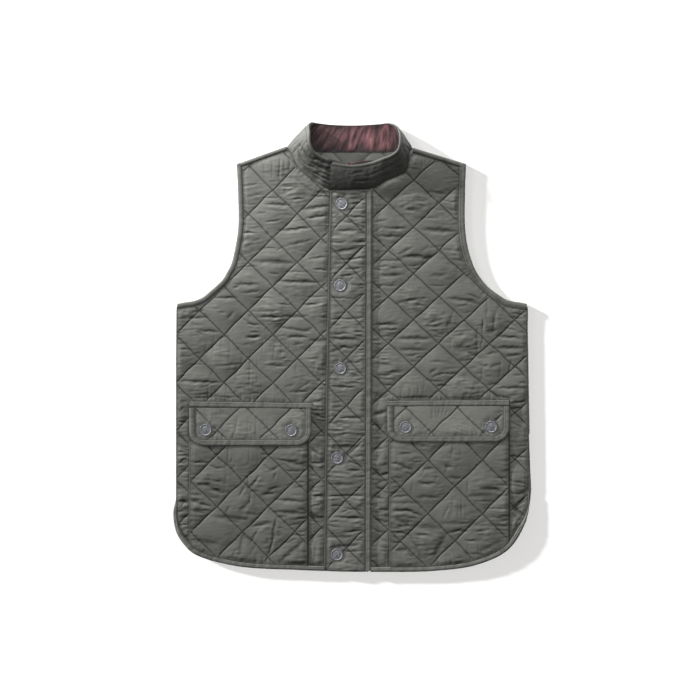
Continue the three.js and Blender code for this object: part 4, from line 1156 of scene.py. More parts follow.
def makeFront(side):
    direction = 1 if side == "left" else -1
    armWidth = bindingWidth["armLeft" if side == "left" else "armRight"]
    quilt = quilting["frontLeft" if side == "left" else "frontRight"]
    pocket = pockets[side]
    hemPath = hemFront[side]
    sideEdge = sideFront[side]
    loop = evenly(np.vstack([frontLoop(side), frontLoop(side)[:1]]), 3.0)[:-1]
    loop = pushInside(loop, armhole[side], direction, armWidth - 1.2, 6)
    loop = pushInside(loop, hemPath, 1, frontLook["hemOverlap"] * hemWidths(side, hemPath), 6)
    pocketSides = [
        np.array([(pocket["from"], farDown), (pocket["from"], pocket["top"])], float),
        np.array([(pocket["to"], farDown), (pocket["to"], pocket["top"])], float),
    ]
    welt = np.array(pocket["welt"], float)
    middle = placketEdges["left" if side == "left" else "fold"]
    seams = [
        (shoulderSeam[side], 0, 0.1), (armhole[side], armWidth, 0.1), (sideEdge, 0, 0.1),
        (hemPath, lambda along: hemWidth(side, along), 0.1), (neck[side], 3, 0), (middle, 0, 0.3),
        (welt, 0, 0.3), (pocketSides[0], 0, 0.45), (pocketSides[1], 0, 0.45),
    ]

    def covers(x, y):
        underPocket = (x > pocket["from"] - 0.4) & (x < pocket["to"] + 0.4) & (y < welt[:, 1].min() + 0.6)
        placketX = np.interp(-y, -middle[:, 1], middle[:, 0])
        underPlacket = (x > placketX - 0.4) if side == "left" else (x < placketX + 0.4)
        return (underPocket | (underPlacket & (y < 242))).astype(float)

    def sparse(x, y):
        deep = (x > pocket["from"] + 4) & (x < pocket["to"] - 4) & (y < pocket["top"] - 4)
        placketX = np.interp(-y, -middle[:, 1], middle[:, 0])
        return deep | ((x > placketX + 4) if side == "left" else (x < placketX - 4))

    flatTop = quiltedTop(quilt, stitchFront, frontLook["height"], seams, frontLook["seed"][side],
                         rows=frontCreases[side], covers=covers)
    besideNeck = neck[side][neck[side][:, 1] > 255]

    # the cloth rises a little to the sides of the neck
    def topOf(x, y):
        z, deep = flatTop(x, y)
        distance, _ = nearPath(x, y, besideNeck)
        fromSeam, _ = nearPath(x, y, shoulderSeam[side])
        rise = frontLook["rise"] * np.exp(-(distance / frontLook["riseWidth"]) ** 2)
        return z + rise * smoothStep(fromSeam, 0, 22) * (1 - covers(x, y)), deep

    parts = Parts()
    panelParts(parts, loop, quilt, frontLook["steps"], topOf, flatAt(baseFront), sparse=sparse)
    piece = parts.build("front_" + side + "_cloth", nylon)
    sewing = Parts()
    sewQuilting(sewing, quilt, loop, topOf, skip=lambda x, y: covers(x, y) > 0)
    sewPath(sewing, offsetPath(shoulderSeam[side], -1, 2.2), topOf)
    cloth(piece, loop, "front_" + side, sewing=addSewing(sewing, "front_" + side))


for side in ("left", "right"):
    makeFront(side)
print("fronts done")

# Placket and the folded strip along it

placketLook = {"steps": 42, "height": 2.3, "folds": 1.2, "seed": 83, "rows": (1.7, 4.6), "sewnTo": 228}
foldLook = {"width": 7.4, "start": 1.5, "seed": 5, "pucker": 0.3, "pitch": 7, "groove": 1.4}
placketCreases = [
    (0, 228, 30, 1.4, 0, 0.5), (3, 215, 18, 1.6, 12, 0.8), (8, 224, 18, 2.7, 10, 0.6),
    (0, 207, 15, 1.3, 12, 0.5), (-24, 196, 9, 1.4, 30, 0.5), (8, 195, 27, 1.6, -2, 0.8),
    (12, 207, 12, 1.1, 0, 0.4), (-6, 187, 15, 1.4, 0, 0.5), (8, 183, 24, 1.8, -18, 0.7),
    (18, 178, 12, 1.3, 20, 0.6), (-3, 175, 39, 2, 0, 0.9), (15, 171, 12, 1.3, -5, 0.5),
    (-24, 168, 18, 2.7, -5, 0.4), (-16, 157, 21, 1.6, 3, 0.6), (12, 158, 27, 1.8, 0, 0.8),
    (-10, 145, 42, 2.5, 6, 0.9), (-3, 130, 51, 2.2, 46, 0.7), (-14, 131, 33, 1.4, 2, 0.6),
    (9, 133, 24, 1.8, 2, 0.8), (2, 117, 21, 1.8, 6, 0.7), (-9, 107, 15, 3.1, 5, 0.9),
    (4, 110, 18, 1.8, 15, 0.6), (-2, 102, 12, 1.6, 35, 0.6), (-28, 99, 12, 1.3, 0, 0.6),
    (12, 92, 21, 1.4, -2, 0.7), (14, 88, 15, 1.3, 0, 0.6), (-22, 74, 39, 1.6, -3, 0.8),
    (9, 75, 21, 1.8, 30, 0.5), (9, 62, 12, 1.1, 0, 0.4), (0, 43, 39, 1.6, 3, 0.8),
    (-24, 42, 15, 1.4, 10, 0.5), (-26, 33, 18, 1.6, 0, 0.5), (8, 33, 24, 1.8, 0, 0.4),
    (-22, 20, 33, 2.3, 2, 0.9), (12, 23, 15, 1.8, 0, 0.5), (-14, 12, 42, 3.1, -2, 1),
    (14, 16, 15, 1.8, 0, 0.5), (-22, -4, 24, 2.2, 14, 0.9), (-8, -1, 18, 1.8, -8, 0.9),
    (14, -4, 12, 1.3, 0, 0.5), (0, -23, 33, 1.8, 2, 0.6), (12, -38, 12, 1.1, 0, 0.5),
    (4, -44, 15, 1.3, 0, 0.5), (10, -50, 12, 1.1, 0, 0.4), (-16, -60, 36, 1.8, -3, 0.9),
    (-26, -83, 21, 1.6, 5, 0.6), (-21, -90, 15, 1.3, 0, 0.5), (2, -106, 33, 1.8, 0, 1.1),
    (-21, -114, 27, 2, -4, 0.6), (-24, -126, 30, 1.4, 0, 0.5), (-30, -135, 12, 1.4, -8, 0.6),
    (-14, -150, 39, 3.6, 0, 0.8), (3, -153, 30, 2, 42, 0.9), (3, -174, 24, 1.4, -22, 0.6),
    (3, -185, 21, 2.3, 0, 0.9), (14, -163, 12, 1.3, 5, 0.5), (-27, -196, 24, 1.4, 3, 0.4),
    (6, -195, 18, 1.4, 0, 0.5), (-18, -206, 36, 2.3, -1, 0.7), (-10, -223, 57, 2, 1, 1),
    (-26, -238, 27, 1.3, 0, 0.5), (-10, -246, 12, 1.4, 20, 0.6), (3, -243, 27, 1.8, -8, 0.8),
    (-2, -256, 39, 2.2, -3, 1), (-27, -262, 15, 1.4, 3, 0.6), (-26, -269, 18, 1.4, -5, 0.6),
    (-21, -284, 36, 2.7, -2, 0.7), (3, -276, 27, 1.8, 8, 0.9), (12, -290, 15, 2, 0, 0.9),
    (-10, -298, 39, 2.7, 6, 0.9), (-4, -306, 30, 1.4, 0, 0.8),
]


# Cuts a loop that runs past the hem along the vest's outline
def vestCut(loop):
    order = np.argsort(hem[:, 0])
    moved = loop.copy()
    moved[:, 1] = np.maximum(loop[:, 1], np.interp(loop[:, 0], hem[order, 0], hem[order, 1]))
    return moved


def makePlacket():
    left, right = placketEdges["left"], placketEdges["right"]
    loop = joinPaths(vestCut(evenly(np.vstack([left, right[::-1], left[:1]]), 3.0)[:-1]))
    seams = [(left, 3.0, 0), (right, 0, 0)]
    dips = [(x, y, snapRadius) for x, y in placketSnaps.values()]
    hemEdge = hem[(hem[:, 0] > -60) & (hem[:, 0] < 50)]
    quilt = quilting["placket"]
    topOf = quiltedTop(quilt, stitchOnFront, placketLook["height"], seams, placketLook["seed"],
                       rows=placketCreases, dips=dips, folds=placketLook["folds"], reach=16,
                       edges=[(left, 1.2, 1.6), (hemEdge, 1.6, 2.2)])
    parts = Parts()
    panelParts(parts, loop, quilt, placketLook["steps"], topOf, flatAt(baseOnFront), spacing=1.5)
    piece = parts.build("placket_cloth", nylon)
    sewing = Parts()
    sewQuilting(sewing, quilt, loop, topOf, inset=3.5, skip=underSnaps(dips))
    sewn = placketLook["sewnTo"]
    for inward in placketLook["rows"]:
        line = left[(left[:, 1] < sewn) & (left[:, 1] > -332)] + np.array([inward, 0])
        sewPath(sewing, line, topOf)
    sewPath(sewing, right[(right[:, 1] < sewn) & (right[:, 1] > -333)] - np.array([1.6, 0]), topOf)
    cloth(piece, loop, "placket",
          sewing=addSewing(sewing, "placket"))

    parts = Parts()
    start = evenly(right + np.array([foldLook["start"], 0]), 1.6)
    start = start[start[:, 1] > -336.8]
    fold = placketEdges["fold"]
    widths = np.interp(-start[:, 1], -fold[:, 1], fold[:, 0]) - start[:, 0]
    stripParts(parts, start, 1, widths, baseOnFront, placketFoldTop, foldLook["seed"],
               pucker=foldLook["pucker"], pitch=foldLook["pitch"], groove=foldLook["groove"])
    piece = parts.build("placket_fold_cloth", nylonTrim)
    declareBinding(piece, "placket_fold",
                   pathLength(start))


makePlacket()
print("placket done")

# Pockets, welts and flaps

pocketLook = {
    "steps": 38, "height": 2.7, "folds": 0.95, "seed": {"left": 131, "right": 157},
    "sewnTo": {"left": (-305, -332), "right": (-331, -300)}, "rows": (2.4, 5.6),
}
flapLook = {"steps": 40, "height": 1.6, "folds": 0.6, "creases": 0.6, "seed": {"left": 173, "right": 191}}
weltLook = {"seed": {"left": 21, "right": 23}, "pucker": 0.35, "pitch": 8, "groove": 1.6}
flapBindingLook = {"seed": {"left": 31, "right": 37}, "pucker": 0.3, "pitch": 6, "groove": 6.4}
pocketCreases = {
    "left": [
        (-230, -173, 26, 1.4, 0, 0.9), (-202, -178, 21, 1.8, -8, 0.8, -3), (-186, -164, 24, 1.3, 88, 0.7),
        (-182, -171, 9, 1.3, 45, 0.5), (-154, -165, 18, 1.1, 88, 0.4), (-141, -166, 21, 1.1, 88, 0.3),
        (-177, -180, 9, 1.3, 50, 0.5), (-222, -206, 18, 2.7, 8, 0.9), (-206, -213, 27, 2.7, -28, 0.9),
        (-165, -216, 15, 1.8, 55, 0.8), (-156, -201, 15, 1.6, 95, 0.7), (-147, -203, 22, 2.2, 48, 1),
        (-147, -216, 14, 1.4, 0, 0.6), (-153, -226, 14, 1.8, 85, 0.8), (-160, -238, 18, 2.7, 40, 0.7),
        (-186, -243, 9, 2.2, 60, 0.7), (-190, -249, 9, 1.4, -60, 0.5), (-183, -256, 45, 3.6, -5, 0.8),
        (-177, -262, 21, 1.8, -5, 0.5), (-236, -221, 15, 1.4, 0, 0.6), (-228, -234, 30, 2.2, -14, 1.1),
        (-225, -245, 24, 1.4, -3, 0.6), (-232, -247, 21, 1.4, -12, 0.7), (-238, -255, 14, 1.1, 0, 0.5),
        (-207, -226, 18, 1.8, -8, 0.5), (-234, -266, 15, 1.1, 0, 0.3), (-90, -173, 42, 2.3, -13, 1),
        (-87, -186, 24, 1.4, -3, 0.7), (-98, -178, 21, 1.4, -35, 0.4), (-75, -203, 15, 1.4, 0, 0.7),
        (-93, -206, 15, 1.3, 20, 0.4), (-78, -210, 15, 1.3, 0, 0.5), (-126, -220, 18, 2.7, 8, 0.9),
        (-116, -213, 18, 1.8, 20, 0.7, 1.5), (-111, -218, 12, 1.4, -40, 0.5), (-80, -222, 18, 1.3, 0, 0.4),
        (-93, -230, 39, 2.5, -5, 0.9), (-93, -248, 42, 2.7, -4, 1), (-104, -254, 15, 1.8, 10, 0.7),
        (-72, -245, 18, 1.6, -20, 0.8), (-75, -257, 21, 1.4, 0, 0.8), (-88, -266, 18, 1.4, 5, 0.7),
        (-80, -282, 18, 1.6, 0, 0.8), (-75, -277, 14, 1.3, 0, 0.6), (-93, -291, 18, 1.8, 20, 0.6),
        (-117, -273, 30, 2.3, 80, 1), (-122, -300, 33, 2.2, 72, 1), (-135, -266, 27, 3.6, 10, 0.8),
        (-147, -284, 21, 2.2, 60, 0.8), (-158, -286, 12, 1.8, -40, 0.6), (-166, -296, 30, 3.6, 78, 0.7),
        (-148, -304, 18, 1.8, 60, 0.4), (-220, -292, 39, 4.5, -10, 0.6), (-177, -309, 15, 2.2, 60, 0.5),
        (-90, -306, 42, 3.6, 42, 0.9), (-74, -307, 18, 1.4, 0, 0.7), (-128, -161, 15, 1.8, 0, 0.8),
        (-128, -180, 12, 1.4, -50, 0.6), (-116, -182, 15, 1.8, 25, 0.8), (-116, -192, 12, 1.8, 75, 0.6),
        (-189, -188, 30, 1.3, 90, 0.3), (-204, -201, 33, 4.5, -5, 0.4),
    ],
    "right": [
        (78, -160, 21, 2.7, 5, 0.5), (93, -172, 15, 1.4, 0, 0.4), (68, -175, 18, 1.8, -8, 0.8),
        (81, -181, 21, 2, -22, 0.8), (68, -186, 18, 1.1, 0, 0.4), (68, -196, 15, 1.3, 0, 0.5),
        (86, -190, 12, 1.4, -30, 0.7), (115, -182, 14, 2.3, 0, 1), (106, -188, 15, 1.4, 60, 0.4),
        (112, -203, 22, 2.3, 0, 1, -1.2), (125, -197, 8, 1.4, 50, 0.6), (129, -206, 12, 1.1, 0, 0.3),
        (90, -210, 18, 1.4, 85, 0.5), (114, -226, 30, 2.2, 0, 0.7, 1.5), (66, -210, 15, 1.3, 0, 0.5),
        (68, -218, 14, 1.1, 10, 0.4), (72, -224, 21, 1.8, 8, 0.9), (63, -233, 14, 1.1, 0, 0.5),
        (84, -235, 33, 2.2, 0, 0.6, 1.5), (74, -245, 30, 2.3, 0, 1.1), (94, -249, 24, 2.2, -20, 0.9),
        (80, -265, 27, 1.8, -25, 0.7), (66, -272, 15, 1.4, -8, 0.6), (69, -278, 18, 1.6, -6, 0.8),
        (81, -281, 21, 1.4, -20, 0.7), (63, -284, 12, 1.1, -30, 0.5), (64, -293, 18, 2, -4, 0.9),
        (74, -304, 14, 3.1, 0, 0.9), (96, -300, 33, 2, -62, 0.8), (86, -309, 24, 1.6, -50, 0.6),
        (114, -270, 36, 5.4, -5, 0.7), (132, -297, 39, 4.5, 62, 0.9), (111, -315, 21, 1.8, 15, 0.5),
        (144, -179, 10, 2.3, 0, 0.9), (141, -184, 15, 1.3, 70, 0.5), (154, -196, 18, 2.2, -5, 0.8),
        (150, -156, 24, 1.8, 80, 0.5), (162, -164, 24, 1.3, 85, 0.35), (158, -177, 24, 1.1, 85, 0.3),
        (173, -208, 21, 1.8, 85, 0.5), (195, -222, 36, 3.6, 3, 0.6), (207, -214, 27, 3.6, -5, 1, 1.5),
        (202, -231, 27, 1.4, -3, 0.5), (213, -242, 27, 1.4, 0, 0.5), (220, -255, 27, 2.2, 0, 0.7),
        (224, -260, 21, 1.4, 0, 0.7), (222, -268, 21, 1.6, -3, 0.8), (226, -275, 18, 1.3, 0, 0.6),
        (226, -280, 15, 1.3, 0, 0.6), (228, -286, 14, 1.3, 0, 0.5), (153, -276, 21, 1.8, 14, 1),
        (166, -276, 18, 1.4, -6, 0.8), (164, -242, 27, 1.3, 90, 0.6), (159, -244, 27, 1.1, 88, 0.4),
        (148, -243, 30, 2.7, 82, 0.4), (141, -246, 24, 1.4, 65, 0.5), (156, -264, 45, 2.7, 0, 0.5),
        (186, -266, 27, 3.6, 20, 0.4), (190, -275, 27, 1.4, 2, 0.5), (180, -290, 21, 1.8, 0, 0.6),
        (173, -303, 21, 1.4, 88, 0.4), (189, -303, 18, 1.4, 88, 0.3), (210, -297, 39, 4.5, 25, 0.5),
        (182, -310, 24, 1.4, -4, 0.6), (226, -196, 18, 1.8, 3, 0.7), (226, -207, 18, 1.3, 0, 0.4),
        (160, -316, 18, 1.8, 10, 0.5),
    ],
}
flapCreases = {
    "left": [
        (-208, -99, 18, 1.1, 85, 0.4), (-202, -100, 18, 1.1, 85, 0.35), (-198, -102, 18, 1.1, 80, 0.3),
        (-222, -102, 18, 1.3, -40, 0.4), (-214, -110, 9, 1.1, -60, 0.5), (-174, -120, 27, 1.6, 78, 0.6),
        (-178, -134, 10, 1.4, 80, 0.6), (-184, -123, 18, 1.3, 85, 0.35), (-156, -118, 24, 1.3, 85, 0.35),
        (-144, -120, 30, 1.6, 85, 0.5), (-151, -120, 24, 1.3, 88, 0.3), (-134, -116, 15, 1.3, -55, 0.4),
        (-129, -123, 9, 1.1, -40, 0.4), (-114, -131, 21, 1.4, 15, 0.5), (-126, -108, 18, 1.1, 88, 0.3),
        (-194, -132, 12, 1.3, -45, 0.5), (-134, -136, 14, 1.8, 0, 0.5), (-214, -136, 18, 1.1, 0, 0.5),
        (-207, -130, 15, 1.1, 45, 0.5), (-206, -117, 15, 1.1, -55, 0.5),
    ],
    "right": [
        (120, -100, 21, 1.4, 88, 0.5), (130, -96, 15, 1.4, 80, 0.5), (136, -96, 15, 1.3, 80, 0.4),
        (141, -99, 12, 1.3, 65, 0.4), (126, -94, 12, 1.1, 85, 0.4), (138, -124, 15, 1.1, 85, 0.3),
        (151, -126, 15, 1.1, 85, 0.25), (159, -122, 21, 1.1, 88, 0.25), (111, -131, 15, 1.3, 0, 0.4),
        (193, -120, 15, 1.1, 80, 0.4), (198, -124, 9, 1.3, 45, 0.5), (218, -107, 15, 1.4, 35, 0.6),
        (222, -98, 12, 1.1, -60, 0.3), (90, -102, 18, 1.1, 88, 0.3), (177, -105, 21, 1.1, 80, 0.25),
    ],
}


def flapEdge(flap):
    points = [(flap["from"], flap["top"])]
    for centreX, start in ((flap["from"] + flapCorner, math.pi), (flap["to"] - flapCorner, 1.5 * math.pi)):
        for k in range(13):
            turn = start + k * math.pi / 24
            points.append((centreX + flapCorner * math.cos(turn),
                           flap["bottom"] + flapCorner + flapCorner * math.sin(turn)))
    points.append((flap["to"], flap["top"]))
    return evenly(np.array(points), 1.8)


def makePocket(side):
    pocket = pockets[side]
    quilt = quilting["pocketLeft" if side == "left" else "pocketRight"]
    low, high = pocket["from"], pocket["to"]
    hemPath = hemFront[side]
    welt = np.array(pocket["welt"], float)
    box = np.array([(low, farDown), (high, farDown), (high, welt[1, 1] - 1), (low, welt[0, 1] - 1)], float)
    loop = vestCut(evenly(np.vstack([box, box[:1]]), 3.0)[:-1])
    loop = joinPaths(pushInside(loop, hemPath, 1, frontLook["hemOverlap"] * hemWidths(side, hemPath), 9))
    edges = [np.array([box[1], box[2]]), np.array([box[3], box[0]])]
    seams = [
        (edges[0], 1.4, 0.4), (edges[1], 1.4, 0.4), (hemPath, lambda along: hemWidth(side, along), 0),
    ]
    topOf = quiltedTop(quilt, stitchOnFront, pocketLook["height"], seams, pocketLook["seed"][side],
                       rows=pocketCreases[side], folds=pocketLook["folds"],
                       edges=[(edges[0], 1.7, 1.8), (edges[1], 1.7, 1.8)])
    flap = flaps[side]
    flapPath = flapEdge(flap)

    def underFlap(x, y):
        return (x > flap["from"]) & (x < flap["to"]) & (y > flap["bottom"] + 5)

    def topUnderFlap(x, y):
        z, deep = topOf(x, y)
        under = smoothStep(y, flap["bottom"] - 5, flap["bottom"] + 4)
        z = z * (1 - under) + np.minimum(z, stitchOnFront - 0.1) * under
        # painted shadow on the pocket along the flap's edge, round and below it
        distance, _ = nearPath(x, y, flapPath)
        return z, np.clip(deep + 0.95 * np.exp(-(distance / 2.8) ** 2), 0, 1)

    parts = Parts()
    panelParts(parts, loop, quilt, pocketLook["steps"], topUnderFlap, flatAt(baseOnFront), sparse=underFlap)
    piece = parts.build("pocket_" + side + "_cloth", nylonPocketPaintedShade)
    sewing = Parts()
    sewQuilting(sewing, quilt, loop, topUnderFlap, skip=underFlap)
    for x, inward, bottom in zip((low, high), (1, -1), pocketLook["sewnTo"][side]):
        for row in pocketLook["rows"]:
            line = [(x + inward * row, bottom), (x + inward * row, flap["bottom"] + 3)]
            sewPath(sewing, np.array(line, float), topUnderFlap)
    cloth(piece, loop, "pocket_" + side,
          sewing=addSewing(sewing, "pocket_" + side))

    parts = Parts()
    path = evenly(welt, 1.8)
    stripParts(parts, path, -1, weltWidth, baseOnFront, weltTop, weltLook["seed"][side],
               pucker=weltLook["pucker"], pitch=weltLook["pitch"], groove=weltLook["groove"])
    piece = parts.build("pocket_welt_" + side + "_cloth", nylonTrim)
    sewing = Parts()
    sewPath(sewing, offsetPath(path[2:-2], -1, weltLook["groove"]), level=weltTop - grooveSink)
    declareBinding(piece, "pocket_welt_" + side, pathLength(path),
                   addSewing(sewing, "pocket_welt_" + side))

    quilt = quilting["flapLeft" if side == "left" else "flapRight"]
    edge = flapEdge(flap)
    loop = offsetPath(edge, 1, bindingWidth["flap"] - 1.0)
    loop = loop[loop[:, 1] < flap["top"] + 1.5]
    dips = [(x, y, snapRadius) for name, (x, y) in flapSnaps.items() if side in name]
    topOf = quiltedTop(quilt, stitchFlap, flapLook["height"], [(edge, bindingWidth["flap"], 0)],
                       flapLook["seed"][side], rows=flapCreases[side], dips=dips, folds=flapLook["folds"],
                       pucker=0.6, share=flapLook["creases"])
    parts = Parts()
    panelParts(parts, loop, quilt, flapLook["steps"], topOf, flatAt(baseFlap), spacing=1.5)
    piece = parts.build("pocket_flap_" + side + "_cloth", nylonFlapPaintedLight)
    sewing = Parts()
    sewQuilting(sewing, quilt, loop, topOf, skip=underSnaps(dips))
    cloth(piece, loop, "pocket_flap_" + side,
          sewing=addSewing(sewing, "pocket_flap_" + side))

    parts = Parts()
    look = flapBindingLook
    stripParts(parts, edge, 1, bindingWidth["flap"], baseFlap, flapBindingTop, look["seed"][side],
               pucker=look["pucker"], pitch=look["pitch"], groove=look["groove"])
    piece = parts.build("flap_binding_" + side + "_cloth", nylonTrim)
    sewing = Parts()
    sewPath(sewing, offsetPath(edge[2:-2], 1, look["groove"]), level=flapBindingTop - grooveSink)
    declareBinding(piece, "flap_binding_" + side,
                   pathLength(edge),
                   addSewing(sewing, "flap_binding_" + side))


for side in ("left", "right"):
    makePocket(side)
print("pockets done")

# Bindings of the armholes and the hems

armBindingLook = {"seed": {"left": 41, "right": 43}, "pucker": 0.22, "pitch": 9, "sewnIn": 1.8, "turn": 10}
hemBindingLook = {
    "seed": {"left": 53, "right": 59, "back": 51}, "pucker": 0.35, "puckerBack": 0.4, "pitch": 5.5,
    "sewnIn": 1.6, "thin": 7.6,
}


def makeArmBinding(side):
    look = armBindingLook
    seed = look["seed"][side]
    direction = 1 if side == "left" else -1
    path = evenly(armhole[side], bindingStep)
    width = bindingWidth["armLeft" if side == "left" else "armRight"]
    parts = Parts()
    stripParts(parts, path, direction, width, baseFront, armBindingTop, seed, pucker=look["pucker"],
               pitch=look["pitch"], groove=width - look["sewnIn"])
    stripParts(parts, path, direction, width, aboveFloor, wallBack, seed + 1, pucker=0.1,
               pitch=look["pitch"])
    # the ends are closed from the back to the front
    for end in (path[:5], path[-5:]):
        stripParts(parts, end, direction, width, aboveFloor, armBindingTop - 0.2, seed + 2, pucker=0.0)
    piece = parts.build("armhole_binding_" + side + "_cloth", nylonTrim)
    sewing = Parts()
    sewn = offsetPath(path[3:-3], direction, width - look["sewnIn"])
    sewPath(sewing, sewn, level=armBindingTop - grooveSink)
    declareBinding(piece, "armhole_binding_" + side, pathLength(path),
                   addSewing(sewing, "armhole_binding_" + side))


def makeHemBinding(side):
    look = hemBindingLook
    full = bindingWidth["hem"]
    path = evenly(hemFront[side], bindingStep)
    widths = hemWidths(side, path)
    tops = look["thin"] + (hemBindingTop - look["thin"]) * widths / full
    parts = Parts()
    stripParts(parts, path, 1, widths, baseFront, tops, look["seed"][side], pucker=look["pucker"],
               pitch=look["pitch"], groove=full - look["sewnIn"])
    piece = parts.build("hem_binding_" + side + "_cloth", nylonTrim)
    sewing = Parts()
    sewn = offsetPath(path[widths > 0.9 * full], 1, full - look["sewnIn"])
    sewPath(sewing, sewn, level=hemBindingTop - grooveSink)
    declareBinding(piece, "hem_binding_" + side, pathLength(path),
                   addSewing(sewing, "hem_binding_" + side))


def makeBackHemBinding():
    look = hemBindingLook
    full = bindingWidth["hem"]
    path = evenly(hemBack, bindingStep)
    parts = Parts()
    stripParts(parts, path, 1, taperedEnds(path), aboveFloor, wallBack, look["seed"]["back"],
               pucker=look["puckerBack"], pitch=look["pitch"], groove=full - look["sewnIn"])
    piece = parts.build("hem_binding_back_cloth", nylonTrim)
    declareBinding(piece, "hem_binding_back", pathLength(path))


for side in ("left", "right"):
    makeArmBinding(side)
for side in ("left", "right"):
    makeHemBinding(side)
makeBackHemBinding()
print("bindings done")

# Back panel, folded over the shoulders

backLook = {
    "steps": 16, "seed": 223, "foldSeed": 61, "lineLift": 0.8, "stitchSpread": 1.4, "hemOverlap": 0.9,
}
# Where the inside is quilted: between which y and which x it begins, and the area that is stitched
backNeck = {"low": (226, 240), "side": (92, 82), "stitched": {"side": 84, "low": 238, "high": 292}}
# the same kind of creases as in front, the other way round
backCreases = [
    (round(-0.97 * row[0]), round(0.98 * row[1] - 6), *row[2:4], -row[4], row[5])
    for side in ("left", "right") for row in frontCreases[side]
]


# The side that rests flat: its stitched lines and creases are lifted off the surface and get painted shade
def backUnder(x, y):
    one, two = stitchLines(quilting["back"], x, y)
    full = np.abs(np.sin(np.pi * one) * np.sin(np.pi * two)) ** 0.5
    fold = np.clip(noise(x / 30, y / 7, backLook["seed"]), -0.6, 0.6)
    lift = backLook["lineLift"] * np.clip(1 - full / 0.5, 0, 1) + 0.45 * np.clip(fold - 0.15, 0, 1)
    placed, dark = creaseDepth(x, y, backCreases)
    deep = 0.85 * np.clip(1 - full / 0.22, 0, 1) + 0.6 * dark
    return np.clip(lift + 0.9 * placed, 0, 1.6), np.clip(deep, 0, 1)


# The inside, quilted where it shows in the neck opening, with painted shade along its stitched lines
def backAbove(x, y):
    one, two = stitchLines(quilting["back"], x, y)
    full = np.abs(np.sin(np.pi * one) * np.sin(np.pi * two)) ** 0.5
    outer, inner = backNeck["side"]
    inside = smoothStep(y, *backNeck["low"]) * smoothStep(-np.abs(x), -outer, -inner)
    soft = 0.25 * noise(x / 14, y / 6, backLook["seed"] + 4)
    z = wallBack + (soft - 0.8 * np.clip(1 - full / 0.6, 0, 1)) * inside
    deep = np.clip(1 - full / 0.3, 0, 1) * 0.8 * inside
    return z, deep


def makeBack():
    loop = evenly(np.vstack([vestLoop, vestLoop[:1]]), 3.0)[:-1]
    loop = pushInside(loop, armhole["left"], 1, bindingWidth["armLeft"] - 1.2, 6)
    loop = pushInside(loop, armhole["right"], -1, bindingWidth["armRight"] - 1.2, 6)
    loop = joinPaths(pushInside(loop, hemWhole, 1, backLook["hemOverlap"] * taperedEnds(hemWhole), 6))
    parts = Parts()
    panelParts(parts, loop, quilting["back"], backLook["steps"], backAbove, backUnder, spacing=3.0,
               fineBottom=True)
    for side in ("left", "right"):
        path = evenly(shoulderFold[side], bindingStep)
        stripParts(parts, path, 1, shoulders[side]["foldWidth"], 0.05, shoulderTop, backLook["foldSeed"],
                   pucker=0.3, pitch=10)
    piece = parts.build("back_panel_cloth", nylon)
    sewing = Parts()
    sewQuilting(sewing, quilting["back"], loop, backUnder, lift=0.0, spread=backLook["stitchSpread"])
    area = backNeck["stitched"]
    wide, low, high = area["side"], area["low"], area["high"]
    neckLoop = np.array([(-wide, low), (wide, low), (wide, high), (-wide, high)], float)
    sewQuilting(sewing, quilting["back"], neckLoop, backAbove)
    cloth(piece, loop, "back_panel", sewing=addSewing(sewing, "back_panel"))


makeBack()
print("back done")

# Collar: a band whose rows are run through by smooth curves, and the corduroy inside it

# Each row: the foot's x, y and z, the rim's x, y and z, and how far the band bows out between them
collarTable = [
    (-10.5, 237, 10.9, -9, 275.5, 17.6, 2.2), (-33, 236.2, 10.9, -27.6, 279.2, 18.4, 2.2),
    (-58.5, 249.8, 11, -42, 282.4, 24, 2.2), (-78, 264.8, 11.2, -55, 288.8, 31, 2.2),
    (-87, 280.5, 11.4, -62.3, 301.5, 35, 2.2), (-93.6, 294, 10.4, -64, 318, 33, 2.0),
    (-98.3, 300.3, 6, -64.8, 332.3, 22, 1.4), (-90, 301.2, 1.5, -60.8, 337.8, 7, 0.4),
    (-72, 297, 0.3, -51, 336.6, 1.5, 0), (-48, 294.8, 0.3, -36, 334.5, 0.8, 0),
    (0, 294.4, 0.3, 3, 333, 0.8, 0), (48, 294.8, 0.3, 42, 335.1, 0.8, 0),
    (69, 297, 0.3, 54.8, 336.6, 2, 0), (84, 300.8, 2, 63.8, 334.5, 8, 0.4),
    (90.5, 299.4, 6.5, 69.5, 327, 22, 1.4), (87.8, 292.5, 10.6, 72, 313.5, 33, 2.0),
    (85.5, 277.5, 11.2, 71, 299.3, 38, 2.2), (81, 262.5, 11.6, 66.8, 290.3, 39.5, 2.2),
    (69, 255.6, 12.2, 57.8, 284.1, 38, 2.2), (52.5, 249, 12.8, 45.8, 279.9, 35, 2.2),
    (30, 237, 14.2, 28.5, 274.5, 31, 2.2), (0, 235, 14.6, 0, 270.6, 27, 2.2),
    (-35.4, 234.8, 14.6, -31, 275.6, 24, 2.2),
]
collarLook = {"wall": 3.0, "height": 38, "cut": 40, "perRow": 26, "up": 34, "seed": 301, "corner": 4.0,
              "tabPaintedShade": 0.6, "underTabPaintedShadow": 0.95, "stitchAt": 0.88, "stitchWidth": 0.02,
              "rollFrom": 0.95, "roll": 0.7}
liningLook = {"wall": 1.2, "under": 0.55, "cut": 34, "fromRow": 14 / 3, "toRow": 21.22, "rim": 0.985,
              "peek": 0.1, "perRow": 46, "up": 20, "wale": 2.1, "depth": 0.34, "lean": 12, "seed": 331}
